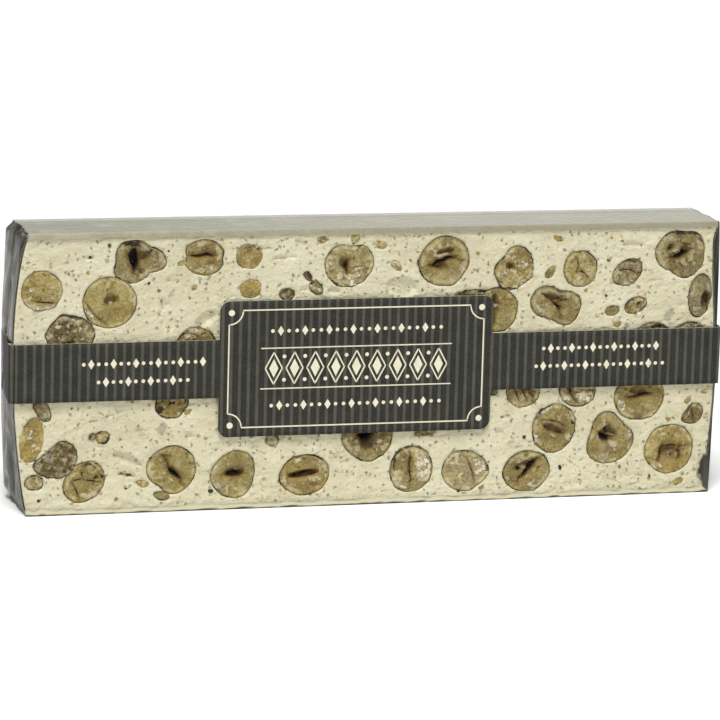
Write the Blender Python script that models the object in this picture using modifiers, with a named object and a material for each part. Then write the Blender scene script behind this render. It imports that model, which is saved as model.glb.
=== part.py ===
"""A slice of white nougat with whole hazelnuts, in clear film, with a striped paper band round it.

The slice stands on its long narrow edge. Its cut face with the nuts looks along -Y, its length runs
along X, and the origin is at the bottom in the middle. Metres, +Z up.
"""

import math
import random

import bmesh
import bpy
from mathutils import Matrix

MM = 0.001

# The nougat
LENGTH = 0.180
DEPTH = 0.0215
HEIGHT = 0.069

# What lies round it, from the inside out
GAP = 0.00025
WAFER_TOP = 0.0008
WAFER_BOTTOM = 0.0004
FILM = 0.00025
PAPER = 0.0003

# Heights of the layers, from the surface that the slice stands on
WAFER_BOTTOM_Z = FILM + GAP
NOUGAT_Z = WAFER_BOTTOM_Z + WAFER_BOTTOM + GAP
NOUGAT_TOP = NOUGAT_Z + HEIGHT
WAFER_TOP_Z = NOUGAT_TOP + GAP
FILM_TOP = WAFER_TOP_Z + WAFER_TOP + GAP + FILM

# The left end swells, most at the front and above the middle; the right end waves a little
SWELL = 0.0038
SWELL_SKEW = 1.2
SWELL_POWER = 0.6
SWELL_AT_BACK = 0.2
WAVE = 0.0009
WAVE_START = 0.16
WAVE_LENGTH = 1.04
WAVE_FADE = 0.05
END_SLICES = 9
END_COLUMNS = 3
EDGE_ROUND = 0.0004

# The corner that has broken off, low on the right of the cut face
CHIP_AT = (0.0906, -0.0110, 0.0060)
CHIP_HALF = (0.0029, 0.0050, 0.0048)

# Hazelnuts
NUT_SEGMENTS = 14
NUT_RINGS = 6
NUT_LOBES = (0.055, 0.035)
NUT_DEPTH = (0.40, 0.52)
NUT_DEEPEST = 0.0068
CLEFT_SEGMENTS = 8
CLEFT_RINGS = 4
CLEFT_DEPTH = 0.42
POCKET_OUT = 0.0010

# The cut face's hazelnuts, in millimetres and degrees: middle x and z, long and short diameter and
# how the long one leans, then the cleft's length, width and lean, with no cleft where they are 0
FRONT_NUTS = [
    (-86.6, 57.5, 10.6, 10.0, 0, 0, 0, 0),
    (-63.2, 64.2, 12.4, 10.4, 10, 6.0, 2.6, 70),
    (-69.6, 53.7, 13.6, 13.0, 0, 5.0, 0.8, -50),
    (-79.6, 45.8, 12.4, 11.0, 0, 0, 0, 0),
    (-45.4, 64.8, 10.6, 9.2, 0, 6.0, 0.9, -8),
    (-34.2, 65.1, 6.9, 6.4, 0, 0, 0, 0),
    (-47.4, 42.4, 10.4, 10.0, 0, 0, 0, 0),
    (-7.9, 62.3, 13.0, 12.6, 0, 5.6, 0.9, 78),
    (17.0, 62.9, 13.4, 12.6, 30, 7.0, 2.4, 18),
    (35.3, 60.6, 12.4, 10.4, 65, 0, 0, 0),
    (53.3, 60.0, 9.6, 9.4, 0, 0, 0, 0),
    (66.1, 58.8, 9.0, 6.6, 32, 0, 0, 0),
    (79.8, 63.1, 14.2, 12.2, -15, 4.8, 2.2, 25),
    (47.0, 50.9, 14.4, 11.4, 0, 7.2, 1.4, -60),
    (31.2, 49.6, 11.8, 11.2, 80, 0, 0, 0),
    (86.2, 52.3, 11.8, 6.6, 85, 0, 0, 0),
    (73.6, 40.9, 10.4, 9.6, 0, 0, 0, 0),
    (84.0, 40.8, 9.4, 9.2, 0, 0, 0, 0),
    (-53.3, 28.0, 8.8, 8.2, 20, 0, 0, 0),
    (-88.9, 19.2, 12.0, 5.8, 80, 0, 0, 0),
    (-83.0, 14.2, 11.4, 8.6, 35, 0, 0, 0),
    (-75.4, 8.2, 11.4, 9.6, 40, 4.0, 0.8, 20),
    (-53.2, 10.3, 12.6, 12.0, 0, 9.6, 1.2, -56),
    (-37.0, 9.0, 11.8, 10.6, 80, 5.0, 1.4, -10),
    (-18.3, 8.4, 12.8, 10.8, 0, 7.6, 1.0, 3),
    (-2.2, 17.7, 13.4, 12.6, 0, 5.4, 5.0, 0),
    (9.5, 8.6, 12.2, 11.2, 85, 8.4, 0.8, 86),
    (23.9, 7.9, 12.4, 10.8, 0, 0, 0, 0),
    (40.6, 7.4, 12.8, 11.2, 0, 8.2, 1.6, 42),
    (47.7, 17.7, 12.8, 11.6, 80, 7.0, 1.4, -18),
    (39.0, 28.2, 9.2, 8.8, 0, 0, 0, 0),
    (53.7, 28.2, 10.0, 9.4, 0, 0, 0, 0),
    (70.5, 25.7, 14.2, 12.0, 5, 6.0, 1.2, 8),
    (63.3, 15.6, 13.4, 12.8, -20, 4.2, 2.6, 60),
    (79.1, 11.6, 13.4, 12.8, 0, 5.4, 4.0, 10),
    (85.3, 21.0, 7.0, 5.8, 20, 0, 0, 0),
    (-28.0, 44.5, 12.0, 11.0, 20, 5.0, 1.0, 30),
    (-10.0, 36.5, 12.6, 11.8, 70, 0, 0, 0),
    (11.5, 43.0, 11.8, 11.0, 0, 6.0, 1.2, -40),
    (-27.0, 28.0, 11.4, 10.4, 50, 0, 0, 0),
]

# The back's hazelnuts are strewn by a rule, the largest first
BACK_NUTS = 15
BACK_CLEFTS = 16
BACK_SIZE = (13.6, 8.6)
BACK_FLATTER = (0.82, 0.98)
BACK_CLEFT_SHARE = (0.40, 0.62)
BACK_CLEFT_WIDTH = (0.8, 2.2)
BACK_MARGIN = 8.0
BACK_TRIES = 80

# Bubbles that the knife has opened, in millimetres: middle x and z, long and short diameter, lean
FRONT_BUBBLES = [
    (-74.4, 65.2, 1.6, 1.2, 0),
    (-45.0, 49.2, 6.4, 3.4, 35),
    (-61.5, 21.0, 2.4, 1.8, 0),
    (-64.4, 13.6, 8.4, 2.8, -20),
    (-65.0, 9.8, 5.8, 1.2, -8),
    (-85.8, 4.6, 1.6, 0.8, 0),
    (-48.5, 19.2, 1.6, 1.4, 0),
    (67.4, 66.0, 6.0, 1.6, 0),
    (-21.0, 68.2, 4.0, 1.8, -20),
    (55.4, 9.6, 1.6, 1.2, 60),
    (33.0, 17.8, 2.0, 1.2, 0),
    (-31.4, 3.6, 1.2, 1.2, 0),
]
BACK_BUBBLES = 10
BUBBLE_SIZE = (1.6, 4.6)
BUBBLE_FLATTER = (0.4, 0.9)
BUBBLE_CLEAR = 1.0
BUBBLE_DEPTH = 0.45
BUBBLE_SEGMENTS = 8
BUBBLE_RINGS = 4

# The film's folded ends and its seam along the back
FLAP = 0.00025
END_REACH = (0.47, 0.54)
FLAP_EDGE_Y = 0.0030
FLAP_IN = 0.0004
SLOT_Y = (0.0033, 0.0037)
SLOT_Z = (0.0120, 0.0240)
SEAM_Z = (0.0090, 0.0210)
SEAM_LENGTH = 0.176
SEAM_RAISE = 0.0002
FILM_ROUND = 0.0004

# The paper band and the plaque that is cut in one piece with it
BAND_Z = (0.0291, 0.0440)
BAND_ROUND = 0.0014
BAND_ROUND_STEPS = 3
PLAQUE_X = (-0.0416, 0.0299)
PLAQUE_Z = (0.0189, 0.0538)
PLAQUE_ROUND = 0.0026
PLAQUE_ROUND_STEPS = 5

# Colours and roughness
CREAM = (0.66, 0.62, 0.45, 1.0)
NUT_TAN = (0.33, 0.25, 0.11, 1.0)
WAFER_GREY = (0.45, 0.42, 0.32, 1.0)
CLEAR_GREY = (0.60, 0.60, 0.56, 0.25)
CHARCOAL = (0.055, 0.053, 0.047, 1.0)

SEED = 41


def clear_scene():
    for thing in list(bpy.data.objects):
        bpy.data.objects.remove(thing)


def collection(name):
    made = bpy.data.collections.new(name)
    bpy.context.scene.collection.children.link(made)
    return made


def material(name, colour, roughness):
    made = bpy.data.materials.new(name)
    made.use_nodes = True
    shader = made.node_tree.nodes["Principled BSDF"]
    shader.inputs["Base Color"].default_value = colour
    shader.inputs["Alpha"].default_value = colour[3]
    shader.inputs["Roughness"].default_value = roughness
    shader.inputs["Metallic"].default_value = 0.0
    return made


def add_object(name, bm, group, finish=None):
    bmesh.ops.recalc_face_normals(bm, faces=bm.faces)
    mesh = bpy.data.meshes.new(name)
    bm.to_mesh(mesh)
    bm.free()
    made = bpy.data.objects.new(name, mesh)
    group.objects.link(made)
    if finish:
        mesh.materials.append(finish)
    else:
        made.hide_render = True
        made.display_type = "WIRE"
    return made


def boolean(target, operation, tool):
    cut = target.modifiers.new(operation.lower(), "BOOLEAN")
    cut.operation = operation
    cut.solver = "EXACT"
    if isinstance(tool, bpy.types.Collection):
        cut.operand_type = "COLLECTION"
        cut.collection = tool
    else:
        cut.object = tool


def box(x, y, z):
    """A box between two values along each axis."""
    bm = bmesh.new()
    bmesh.ops.create_cube(bm, size=1.0)
    size = [high - low for low, high in (x, y, z)]
    bmesh.ops.scale(bm, verts=bm.verts, vec=size)
    middle = [(low + high) / 2 for low, high in (x, y, z)]
    bmesh.ops.translate(bm, verts=bm.verts, vec=middle)
    return bm


def left_swell(y, z):
    """How far the left end stands out at this depth and height."""
    up = min(max((z - NOUGAT_Z) / HEIGHT, 0.0), 1.0)
    bow = max(math.sin(math.pi * up ** SWELL_SKEW), 0.0) ** SWELL_POWER
    back = min(max(y / DEPTH + 0.5, 0.0), 1.0)
    return SWELL * bow * (1.0 + (SWELL_AT_BACK - 1.0) * back)


def right_wave(z):
    """How far the right end stands out at this height."""
    up = min(max((z - NOUGAT_Z) / HEIGHT, 0.0), 1.0)
    fade = min(up / WAVE_FADE, (1.0 - up) / WAVE_FADE, 1.0)
    return WAVE * fade * math.sin(2 * math.pi * (up - WAVE_START) / WAVE_LENGTH)


def split(bm, point, direction):
    """A new row of edges where a plane crosses the mesh."""
    everything = list(bm.verts) + list(bm.edges) + list(bm.faces)
    bmesh.ops.bisect_plane(bm, geom=everything, plane_co=point, plane_no=direction)


def slab(out, ends_out, low, high):
    """The slice's own form, out further by so much at its faces and its ends."""
    bm = box(
        (-LENGTH / 2 - ends_out, LENGTH / 2 + ends_out),
        (-DEPTH / 2 - out, DEPTH / 2 + out),
        (low, high),
    )
    for step in range(1, END_SLICES):
        split(bm, (0, 0, NOUGAT_Z + HEIGHT * step / END_SLICES), (0, 0, 1))
    for step in range(1, END_COLUMNS):
        split(bm, (0, DEPTH * (step / END_COLUMNS - 0.5), 0), (0, 1, 0))
    for vert in bm.verts:
        if vert.co.x < 0:
            vert.co.x -= left_swell(vert.co.y, vert.co.z)
        else:
            vert.co.x += right_wave(vert.co.z)
    return bm


def round_edges(target, width):
    bevel = target.modifiers.new("edges", "BEVEL")
    bevel.width = width
    bevel.segments = 1
    bevel.limit_method = "ANGLE"
    bevel.angle_limit = math.radians(60)


def half_ball(segments, rings, out):
    """Half a unit ball behind its flat face, the face carried forward by out."""
    bm = bmesh.new()
    bmesh.ops.create_uvsphere(bm, u_segments=segments, v_segments=rings, radius=1.0)
    pole_back = Matrix.Rotation(math.radians(-90), 3, "X")
    bmesh.ops.rotate(bm, verts=bm.verts, matrix=pole_back)
    front = [vert for vert in bm.verts if vert.co.y < -MM]
    bmesh.ops.delete(bm, geom=front, context="VERTS")
    rim = [edge for edge in bm.edges if edge.is_boundary]
    if out:
        moved = bmesh.ops.extrude_edge_only(bm, edges=rim)["geom"]
        carried = [part for part in moved if isinstance(part, bmesh.types.BMVert)]
        bmesh.ops.translate(bm, verts=carried, vec=(0, -out, 0))
        rim = [edge for edge in bm.edges if edge.is_boundary]
    bmesh.ops.holes_fill(bm, edges=rim, sides=0)
    return bm


def place(thing, nut, lean):
    """On the front or the back face, leaning by so many degrees from the horizontal."""
    thing.location = (nut["x"], nut["side"] * DEPTH / 2, nut["z"])
    facing = 0.0 if nut["side"] < 0 else math.pi
    thing.rotation_euler = (0.0, -math.radians(lean), facing)


def lobed(bm, nut, grow, deep):
    """Turns the half ball into a nut: two and three lobes round it, grown by so much all over."""
    for vert in bm.verts:
        angle = math.atan2(vert.co.z, vert.co.x)
        lobes = 1.0 + NUT_LOBES[0] * math.cos(2 * angle - nut["turn"][0])
        lobes += NUT_LOBES[1] * math.cos(3 * angle - nut["turn"][1])
        vert.co.x *= nut["long"] / 2 * lobes + grow
        vert.co.z *= nut["short"] / 2 * lobes + grow
        if vert.co.y > 0:
            vert.co.y *= deep


def nut_pocket(nut, cutters):
    """The hollow that a nut sits in, a gap wider than the nut."""
    bm = half_ball(NUT_SEGMENTS, NUT_RINGS, POCKET_OUT)
    lobed(bm, nut, GAP, nut["deep"] + GAP)
    pocket = add_object(nut["name"] + "_pocket", bm, cutters)
    place(pocket, nut, nut["lean"])
    return pocket


def cleft_cutter(nut, cutters):
    """The split in the middle of a halved kernel."""
    bm = bmesh.new()
    bmesh.ops.create_uvsphere(
        bm, u_segments=CLEFT_SEGMENTS, v_segments=CLEFT_RINGS, radius=1.0
    )
    half = (nut["cleft"] / 2, nut["deep"] * CLEFT_DEPTH, nut["cleft_width"] / 2)
    pole_back = Matrix.Rotation(math.radians(-90), 3, "X")
    bmesh.ops.rotate(bm, verts=bm.verts, matrix=pole_back)
    bmesh.ops.scale(bm, verts=bm.verts, vec=half)
    cutter = add_object(nut["name"] + "_cleft", bm, cutters)
    place(cutter, nut, nut["cleft_lean"])
    return cutter


def hazelnut(nut, neighbours, group, cutters, finish):
    """One kernel, cut flush with the face, with its cleft, and pressed flat by its neighbours."""
    bm = half_ball(NUT_SEGMENTS, NUT_RINGS, 0.0)
    lobed(bm, nut, 0.0, nut["deep"])
    kernel = add_object(nut["name"], bm, group, finish)
    place(kernel, nut, nut["lean"])
    if nut["cleft"]:
        boolean(kernel, "DIFFERENCE", cleft_cutter(nut, cutters))
    for pocket in neighbours:
        boolean(kernel, "DIFFERENCE", pocket)
    return kernel


def describe(name, side, row, rng):
    """The sizes of one nut in metres, with its depth and the turn of its lobes drawn from rng."""
    x, z, long, short, lean, cleft, cleft_width, cleft_lean = row
    return {
        "name": name,
        "side": side,
        "x": x * MM,
        "z": z * MM,
        "long": long * MM,
        "short": short * MM,
        "lean": lean,
        "cleft": cleft * MM,
        "cleft_width": cleft_width * MM,
        "cleft_lean": cleft_lean,
        "deep": min(short * MM * rng.uniform(*NUT_DEPTH), NUT_DEEPEST),
        "turn": (rng.uniform(0, 2 * math.pi), rng.uniform(0, 2 * math.pi)),
    }


def strewn_back(rng):
    """The back's nuts: each takes the best of many random places, furthest from the others."""
    total = BACK_NUTS + BACK_CLEFTS
    half_x = LENGTH / 2 / MM - BACK_MARGIN
    low, high = NOUGAT_Z / MM + BACK_MARGIN, NOUGAT_TOP / MM - BACK_MARGIN
    rows = []
    for index in range(total):
        size = BACK_SIZE[0] + (BACK_SIZE[1] - BACK_SIZE[0]) * index / (total - 1)
        best, room = None, -math.inf
        for _ in range(BACK_TRIES):
            x, z = rng.uniform(-half_x, half_x), rng.uniform(low, high)
            near = [math.hypot(x - r[0], z - r[1]) - (size + r[2]) / 2 for r in rows]
            free = min(near, default=0.0)
            if free > room:
                best, room = (x, z), free
        short = size * rng.uniform(*BACK_FLATTER)
        lean = rng.uniform(-90, 90)
        cleft = size * rng.uniform(*BACK_CLEFT_SHARE)
        width = rng.uniform(*BACK_CLEFT_WIDTH)
        rows.append((*best, size, short, lean, cleft, width, rng.uniform(-90, 90)))
    return rows


def bubble(name, side, row, cutters):
    """A shallow round dent in the cut face."""
    x, z, long, short, lean = row
    bm = bmesh.new()
    bmesh.ops.create_uvsphere(
        bm, u_segments=BUBBLE_SEGMENTS, v_segments=BUBBLE_RINGS, radius=1.0
    )
    pole_back = Matrix.Rotation(math.radians(-90), 3, "X")
    bmesh.ops.rotate(bm, verts=bm.verts, matrix=pole_back)
    half = (long / 2 * MM, short * BUBBLE_DEPTH * MM, short / 2 * MM)
    bmesh.ops.scale(bm, verts=bm.verts, vec=half)
    dent = add_object(name, bm, cutters)
    place(dent, {"x": x * MM, "z": z * MM, "side": side}, lean)


def back_bubbles(taken, rng, cutters):
    """Dents on the back, in places that no nut has."""
    half_x = LENGTH / 2 / MM - BACK_MARGIN / 2
    low, high = NOUGAT_Z / MM + BACK_MARGIN / 2, NOUGAT_TOP / MM - BACK_MARGIN / 2
    count = 0
    while count < BACK_BUBBLES:
        x, z = rng.uniform(-half_x, half_x), rng.uniform(low, high)
        long = rng.uniform(*BUBBLE_SIZE)
        reach = long / 2 + BUBBLE_CLEAR
        if all(math.hypot(x - r[0], z - r[1]) > r[2] / 2 + reach for r in taken):
            short = long * rng.uniform(*BUBBLE_FLATTER)
            row = (x, z, long, short, rng.uniform(-90, 90))
            bubble(f"back_bubble_{count + 1:02d}", 1, row, cutters)
            taken.append((x, z, long))
            count += 1


def nougat(group, pockets, finish):
    """The cream slab with a pocket for each nut and a broken corner."""
    body = add_object("nougat", slab(0, 0, NOUGAT_Z, NOUGAT_TOP), group, finish)
    round_edges(body, EDGE_ROUND)
    boolean(body, "DIFFERENCE", pockets)
    return body


def chip(cutters):
    """A rough pebble that takes the corner off."""
    bm = bmesh.new()
    bmesh.ops.create_icosphere(bm, subdivisions=1, radius=1.0)
    bmesh.ops.scale(bm, verts=bm.verts, vec=CHIP_HALF)
    made = add_object("broken_corner", bm, cutters)
    made.location = CHIP_AT


def wafer(name, low, thick, group, finish):
    """A thin sheet of wafer over a whole narrow side."""
    half_x, half_y = LENGTH / 2 - EDGE_ROUND, DEPTH / 2 - EDGE_ROUND
    bm = box((-half_x, half_x), (-half_y, half_y), (low, low + thick))
    return add_object(name, bm, group, finish)


def end_flap(side, cutters):
    """The last fold of an end: a panel that narrows from the front edge towards the back."""
    out = GAP + FILM
    front = -DEPTH / 2 - out + FLAP_IN
    reach = FLAP_EDGE_Y - front
    across = sorted(side * LENGTH * share for share in END_REACH)
    bm = box(across, (front, FLAP_EDGE_Y), (FLAP_IN, FILM_TOP - FLAP_IN))
    for vert in bm.verts:
        if vert.co.y > 0:
            vert.co.z += reach if vert.co.z < FILM_TOP / 2 else -reach
    panel = add_object(f"flap_{'left' if side < 0 else 'right'}", bm, cutters)
    around = slab(out - FLAP_IN / 2, out + FLAP, FLAP_IN / 2, FILM_TOP - FLAP_IN / 2)
    boolean(panel, "INTERSECT", add_object(panel.name + "_form", around, cutters))
    return panel


def end_slot(side, cutters):
    """The way in under the flap's loose edge, through the film of one end."""
    across = sorted(side * LENGTH * share for share in END_REACH)
    bm = box(across, SLOT_Y, SLOT_Z)
    return add_object(f"slot_{'left' if side < 0 else 'right'}", bm, cutters)


def film_wrap(group, cutters, finish):
    """Clear film, drawn tight all round, folded over at both ends and seamed along the back."""
    out = GAP + FILM
    wrap = add_object("film_wrap", slab(out, out, 0.0, FILM_TOP), group, finish)
    round_edges(wrap, FILM_ROUND)
    half = SEAM_LENGTH / 2
    back = DEPTH / 2 + out
    seam = box((-half, half), (back - FILM, back + SEAM_RAISE), SEAM_Z)
    boolean(wrap, "UNION", add_object("back_seam", seam, cutters))
    for side in (-1, 1):
        boolean(wrap, "UNION", end_flap(side, cutters))
    form = slab(GAP, GAP, FILM, FILM_TOP - FILM)
    inside = add_object("film_inside", form, cutters)
    round_edges(inside, FILM_ROUND)
    for side in (-1, 1):
        boolean(inside, "UNION", end_slot(side, cutters))
    boolean(wrap, "DIFFERENCE", inside)
    return wrap


def ring_form(out, z):
    """An upright block with rounded corners that clears the film and its end flaps."""
    ends = LENGTH / 2 + out + FLAP
    half_y = DEPTH / 2 + out
    bm = box((-ends, ends), (-half_y, half_y), z)
    for vert in bm.verts:
        if vert.co.x < 0:
            vert.co.x -= SWELL if vert.co.y < 0 else SWELL * SWELL_AT_BACK
        else:
            vert.co.x += WAVE
    upright = [e for e in bm.edges if abs(e.verts[0].co.z - e.verts[1].co.z) > MM]
    bmesh.ops.bevel(
        bm, geom=upright, offset=BAND_ROUND, segments=BAND_ROUND_STEPS, affect="EDGES",
        profile=0.5,
    )
    return bm


def paper_band(group, cutters, finish):
    """One die-cut strip of paper right round the slice, widened into a plaque at the front."""
    inner = 2 * GAP + FILM
    outer = inner + PAPER
    band = add_object("paper_band", ring_form(outer, BAND_Z), group, finish)
    front = -DEPTH / 2 - outer
    bm = box(PLAQUE_X, (front, front + 2 * PAPER), PLAQUE_Z)
    corners = [e for e in bm.edges if abs(e.verts[0].co.y - e.verts[1].co.y) > PAPER]
    bmesh.ops.bevel(
        bm, geom=corners, offset=PLAQUE_ROUND, segments=PLAQUE_ROUND_STEPS,
        affect="EDGES", profile=0.5,
    )
    boolean(band, "UNION", add_object("plaque", bm, cutters))
    hollow_z = (PLAQUE_Z[0] - GAP, PLAQUE_Z[1] + GAP)
    hollow = add_object("band_inside", ring_form(inner, hollow_z), cutters)
    boolean(band, "DIFFERENCE", hollow)
    return band


def build():
    clear_scene()
    group = collection("Nougat slice")
    cutters = collection("Cutters")
    pockets = collection("Pockets")
    cream = material("nougat", CREAM, 0.75)
    tan = material("hazelnut", NUT_TAN, 0.6)
    grey = material("wafer", WAFER_GREY, 0.8)
    clear = material("film", CLEAR_GREY, 0.15)
    charcoal = material("paper", CHARCOAL, 0.7)

    rng = random.Random(SEED)
    back_rows = strewn_back(rng)
    nuts = [
        describe(f"hazelnut_front_{index + 1:02d}", -1, row, rng)
        for index, row in enumerate(FRONT_NUTS)
    ]
    nuts += [
        describe(f"hazelnut_back_{index + 1:02d}", 1, row, rng)
        for index, row in enumerate(back_rows[:BACK_NUTS])
    ]
    placed = []
    for nut in nuts:
        reach = nut["long"] / 2 + GAP
        touching = [
            pocket
            for other, pocket in placed
            if other["side"] == nut["side"]
            and math.hypot(other["x"] - nut["x"], other["z"] - nut["z"])
            < (reach + other["long"] / 2) * (1 + sum(NUT_LOBES))
        ]
        hazelnut(nut, touching, group, cutters, tan)
        placed.append((nut, nut_pocket(nut, pockets)))

    for index, row in enumerate(back_rows[BACK_NUTS:]):
        cleft_cutter(describe(f"back_{index + 1:02d}", 1, row, rng), pockets)
    for index, row in enumerate(FRONT_BUBBLES):
        bubble(f"front_bubble_{index + 1:02d}", -1, row, pockets)
    back_bubbles([row[:3] for row in back_rows], rng, pockets)
    chip(pockets)

    nougat(group, pockets, cream)
    wafer("wafer_top", WAFER_TOP_Z, WAFER_TOP, group, grey)
    wafer("wafer_bottom", WAFER_BOTTOM_Z, WAFER_BOTTOM, group, grey)
    film_wrap(group, cutters, clear)
    paper_band(group, cutters, charcoal)


build()
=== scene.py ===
import math
import random

import bpy
import numpy as np
from mathutils import Matrix, Vector


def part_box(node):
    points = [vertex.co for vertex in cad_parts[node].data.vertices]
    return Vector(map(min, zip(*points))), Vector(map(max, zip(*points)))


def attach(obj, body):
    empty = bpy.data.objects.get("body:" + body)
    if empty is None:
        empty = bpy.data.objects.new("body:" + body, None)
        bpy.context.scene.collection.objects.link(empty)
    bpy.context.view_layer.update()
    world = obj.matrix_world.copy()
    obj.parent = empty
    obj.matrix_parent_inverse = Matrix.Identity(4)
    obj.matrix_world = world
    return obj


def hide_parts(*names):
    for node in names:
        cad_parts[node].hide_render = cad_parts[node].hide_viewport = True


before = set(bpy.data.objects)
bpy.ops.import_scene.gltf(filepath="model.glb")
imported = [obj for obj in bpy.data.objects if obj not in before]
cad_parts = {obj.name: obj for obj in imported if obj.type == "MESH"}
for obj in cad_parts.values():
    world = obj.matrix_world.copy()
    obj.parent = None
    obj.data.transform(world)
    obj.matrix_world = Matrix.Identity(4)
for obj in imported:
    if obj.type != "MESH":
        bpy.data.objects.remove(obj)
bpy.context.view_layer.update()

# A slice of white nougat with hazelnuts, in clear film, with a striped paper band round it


# The cut hazelnuts of the front
# Roasted kernels set in the nougat when it was poured, and sawn through with it. Each has its own
# outline, split, crumbs and rim of dark skin. Sizes are in millimetres from the kernel's middle,
# u to the right and v up as one looks at the cut face, and angles in degrees from u towards v.
MM = 0.001
NOUGAT_LOW, NOUGAT_HIGH = [np.array(corner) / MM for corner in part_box("nougat")]
FRONT_Y, BACK_Y = NOUGAT_LOW[1], NOUGAT_HIGH[1]
SEGMENTS, RINGS, RINGS_UNDER = 80, 26, 5
POCKET_LEAST, PROUD = 1.3, 0.12
KERNEL_IN = 0.04


def smooth_noise(x, y, z, size, seed=0):
    """Soft random bumps from -1 to 1, each about size across."""
    place = np.stack(np.broadcast_arrays(x, y, z)) / size + 31.7 * seed
    cell = np.floor(place).astype(np.int64)
    inside = place - cell
    inside = inside * inside * (3 - 2 * inside)
    total = 0.0
    for step in np.ndindex(2, 2, 2):
        mix = (cell[0] + step[0]) * 73856093
        mix ^= (cell[1] + step[1]) * 19349663
        mix ^= (cell[2] + step[2]) * 83492791
        mix = (mix ^ (mix >> 13)) * 1274126177
        weight = 1.0
        for axis in range(3):
            weight = weight * (inside[axis] if step[axis] else 1 - inside[axis])
        total = total + weight * (((mix ^ (mix >> 16)) & 0xFFFF) / 32767.5 - 1)
    return total


def fade(value, start, end):
    """0 at start, 1 at end, and soft between."""
    share = np.clip((value - start) / (end - start), 0, 1)
    return share * share * (3 - 2 * share)


def outside_oval(u, v, oval):
    """Distance outside an oval (u, v, long, short, lean), and less than 0 inside it."""
    at_u, at_v, long, short, lean = oval
    turn = math.radians(lean)
    a = (u - at_u) * math.cos(turn) + (v - at_v) * math.sin(turn)
    b = (v - at_v) * math.cos(turn) - (u - at_u) * math.sin(turn)
    near = np.hypot(a / (long / 2), b / (short / 2)) + 1e-6
    slope = np.hypot(a / (long / 2) ** 2, b / (short / 2) ** 2) + 1e-6
    return near * (near - 1) / slope


def nearest_oval(u, v, ovals):
    away = np.full(np.shape(u), 9.0)
    for oval in ovals:
        away = np.minimum(away, outside_oval(u, v, oval))
    return away


def nearest_slit(u, v, slits):
    """Distance outside slits with pointed ends (u, v, long, wide, lean), less than 0 inside them."""
    away = np.full(np.shape(u), 9.0)
    for at_u, at_v, long, wide, lean in slits:
        turn = math.radians(lean)
        a = (u - at_u) * math.cos(turn) + (v - at_v) * math.sin(turn)
        b = (v - at_v) * math.cos(turn) - (u - at_u) * math.sin(turn)
        share = np.clip(2 * a / long, -1, 1)
        belly = (1 - share ** 2) * (1 + 0.45 * share)
        bend = 0.05 * long * np.sin(2.6 * share)
        beyond = np.maximum(np.abs(a) - long / 2, 0)
        away = np.minimum(away, np.hypot(beyond, np.maximum(np.abs(b - bend) - wide / 2 * belly, 0))
                          + np.minimum(np.abs(b - bend) - wide / 2 * belly, 0))
    return away


def nearest_crack(u, v, cracks):
    """Distance from the bent lines (u, v, u, v, bend)."""
    away = np.full(np.shape(u), 9.0)
    for u1, v1, u2, v2, bend in cracks:
        length = math.hypot(u2 - u1, v2 - v1)
        for share in np.linspace(0, 1, max(int(length / 0.12), 3)):
            bow = 4 * share * (1 - share) * bend / length
            at_u = u1 + (u2 - u1) * share - (v2 - v1) * bow
            at_v = v1 + (v2 - v1) * share + (u2 - u1) * bow
            taper = 0.12 * (1 - 4 * share * (1 - share))
            away = np.minimum(away, np.hypot(u - at_u, v - at_v) + taper)
    return away


def outline(kernel, angle):
    """Distance from the middle to the outline at each angle, in radians. Measured distances at whole
    degrees take the place of the oval and its bulges."""
    rough = smooth_noise(2.0 * np.cos(angle), 2.0 * np.sin(angle), 0.0, 1.0, kernel["seed"])
    jags = smooth_noise(9.0 * np.cos(angle), 9.0 * np.sin(angle), 0.0, 1.0, kernel["seed"] + 3)
    if kernel["radii"]:
        at, reach = zip(*kernel["radii"])
        turned = np.degrees(angle) % 360
        reach = sum(np.interp(turned + part, at, reach, period=360) for part in (-8, -4, 0, 4, 8)) / 5
        return reach * (1 + 0.008 * rough + 0.010 * jags)
    long, short, lean = kernel["size"]
    turned = angle - math.radians(lean)
    reach = long * short / 2 / np.hypot(short * np.cos(turned), long * np.sin(turned))
    for at, amount, width in kernel["bulges"]:
        away = (angle - math.radians(at) + math.pi) % (2 * math.pi) - math.pi
        reach = reach * (1 + amount * np.exp(-(away / math.radians(width)) ** 2))
    return reach * (1 + 0.040 * rough + 0.010 * jags)


def kernel(at, size, tone, light, rim=0.6, rough=0.2, side=-1, **marks):
    """One cut kernel: its place, its size and lean, how golden and how light it is, and its marks."""
    made = {"at": at, "size": size, "tone": tone, "light": light, "rim": rim, "rough": rough}
    made.update(side=side, seed=round(abs(at[0] * 7 + at[1] * 3)) % 97 + 1)
    for kind in ("radii", "bulges", "holes", "cracks", "flakes", "crusts", "hollows", "lumps"):
        made[kind] = marks.get(kind, [])
    return made


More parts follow.
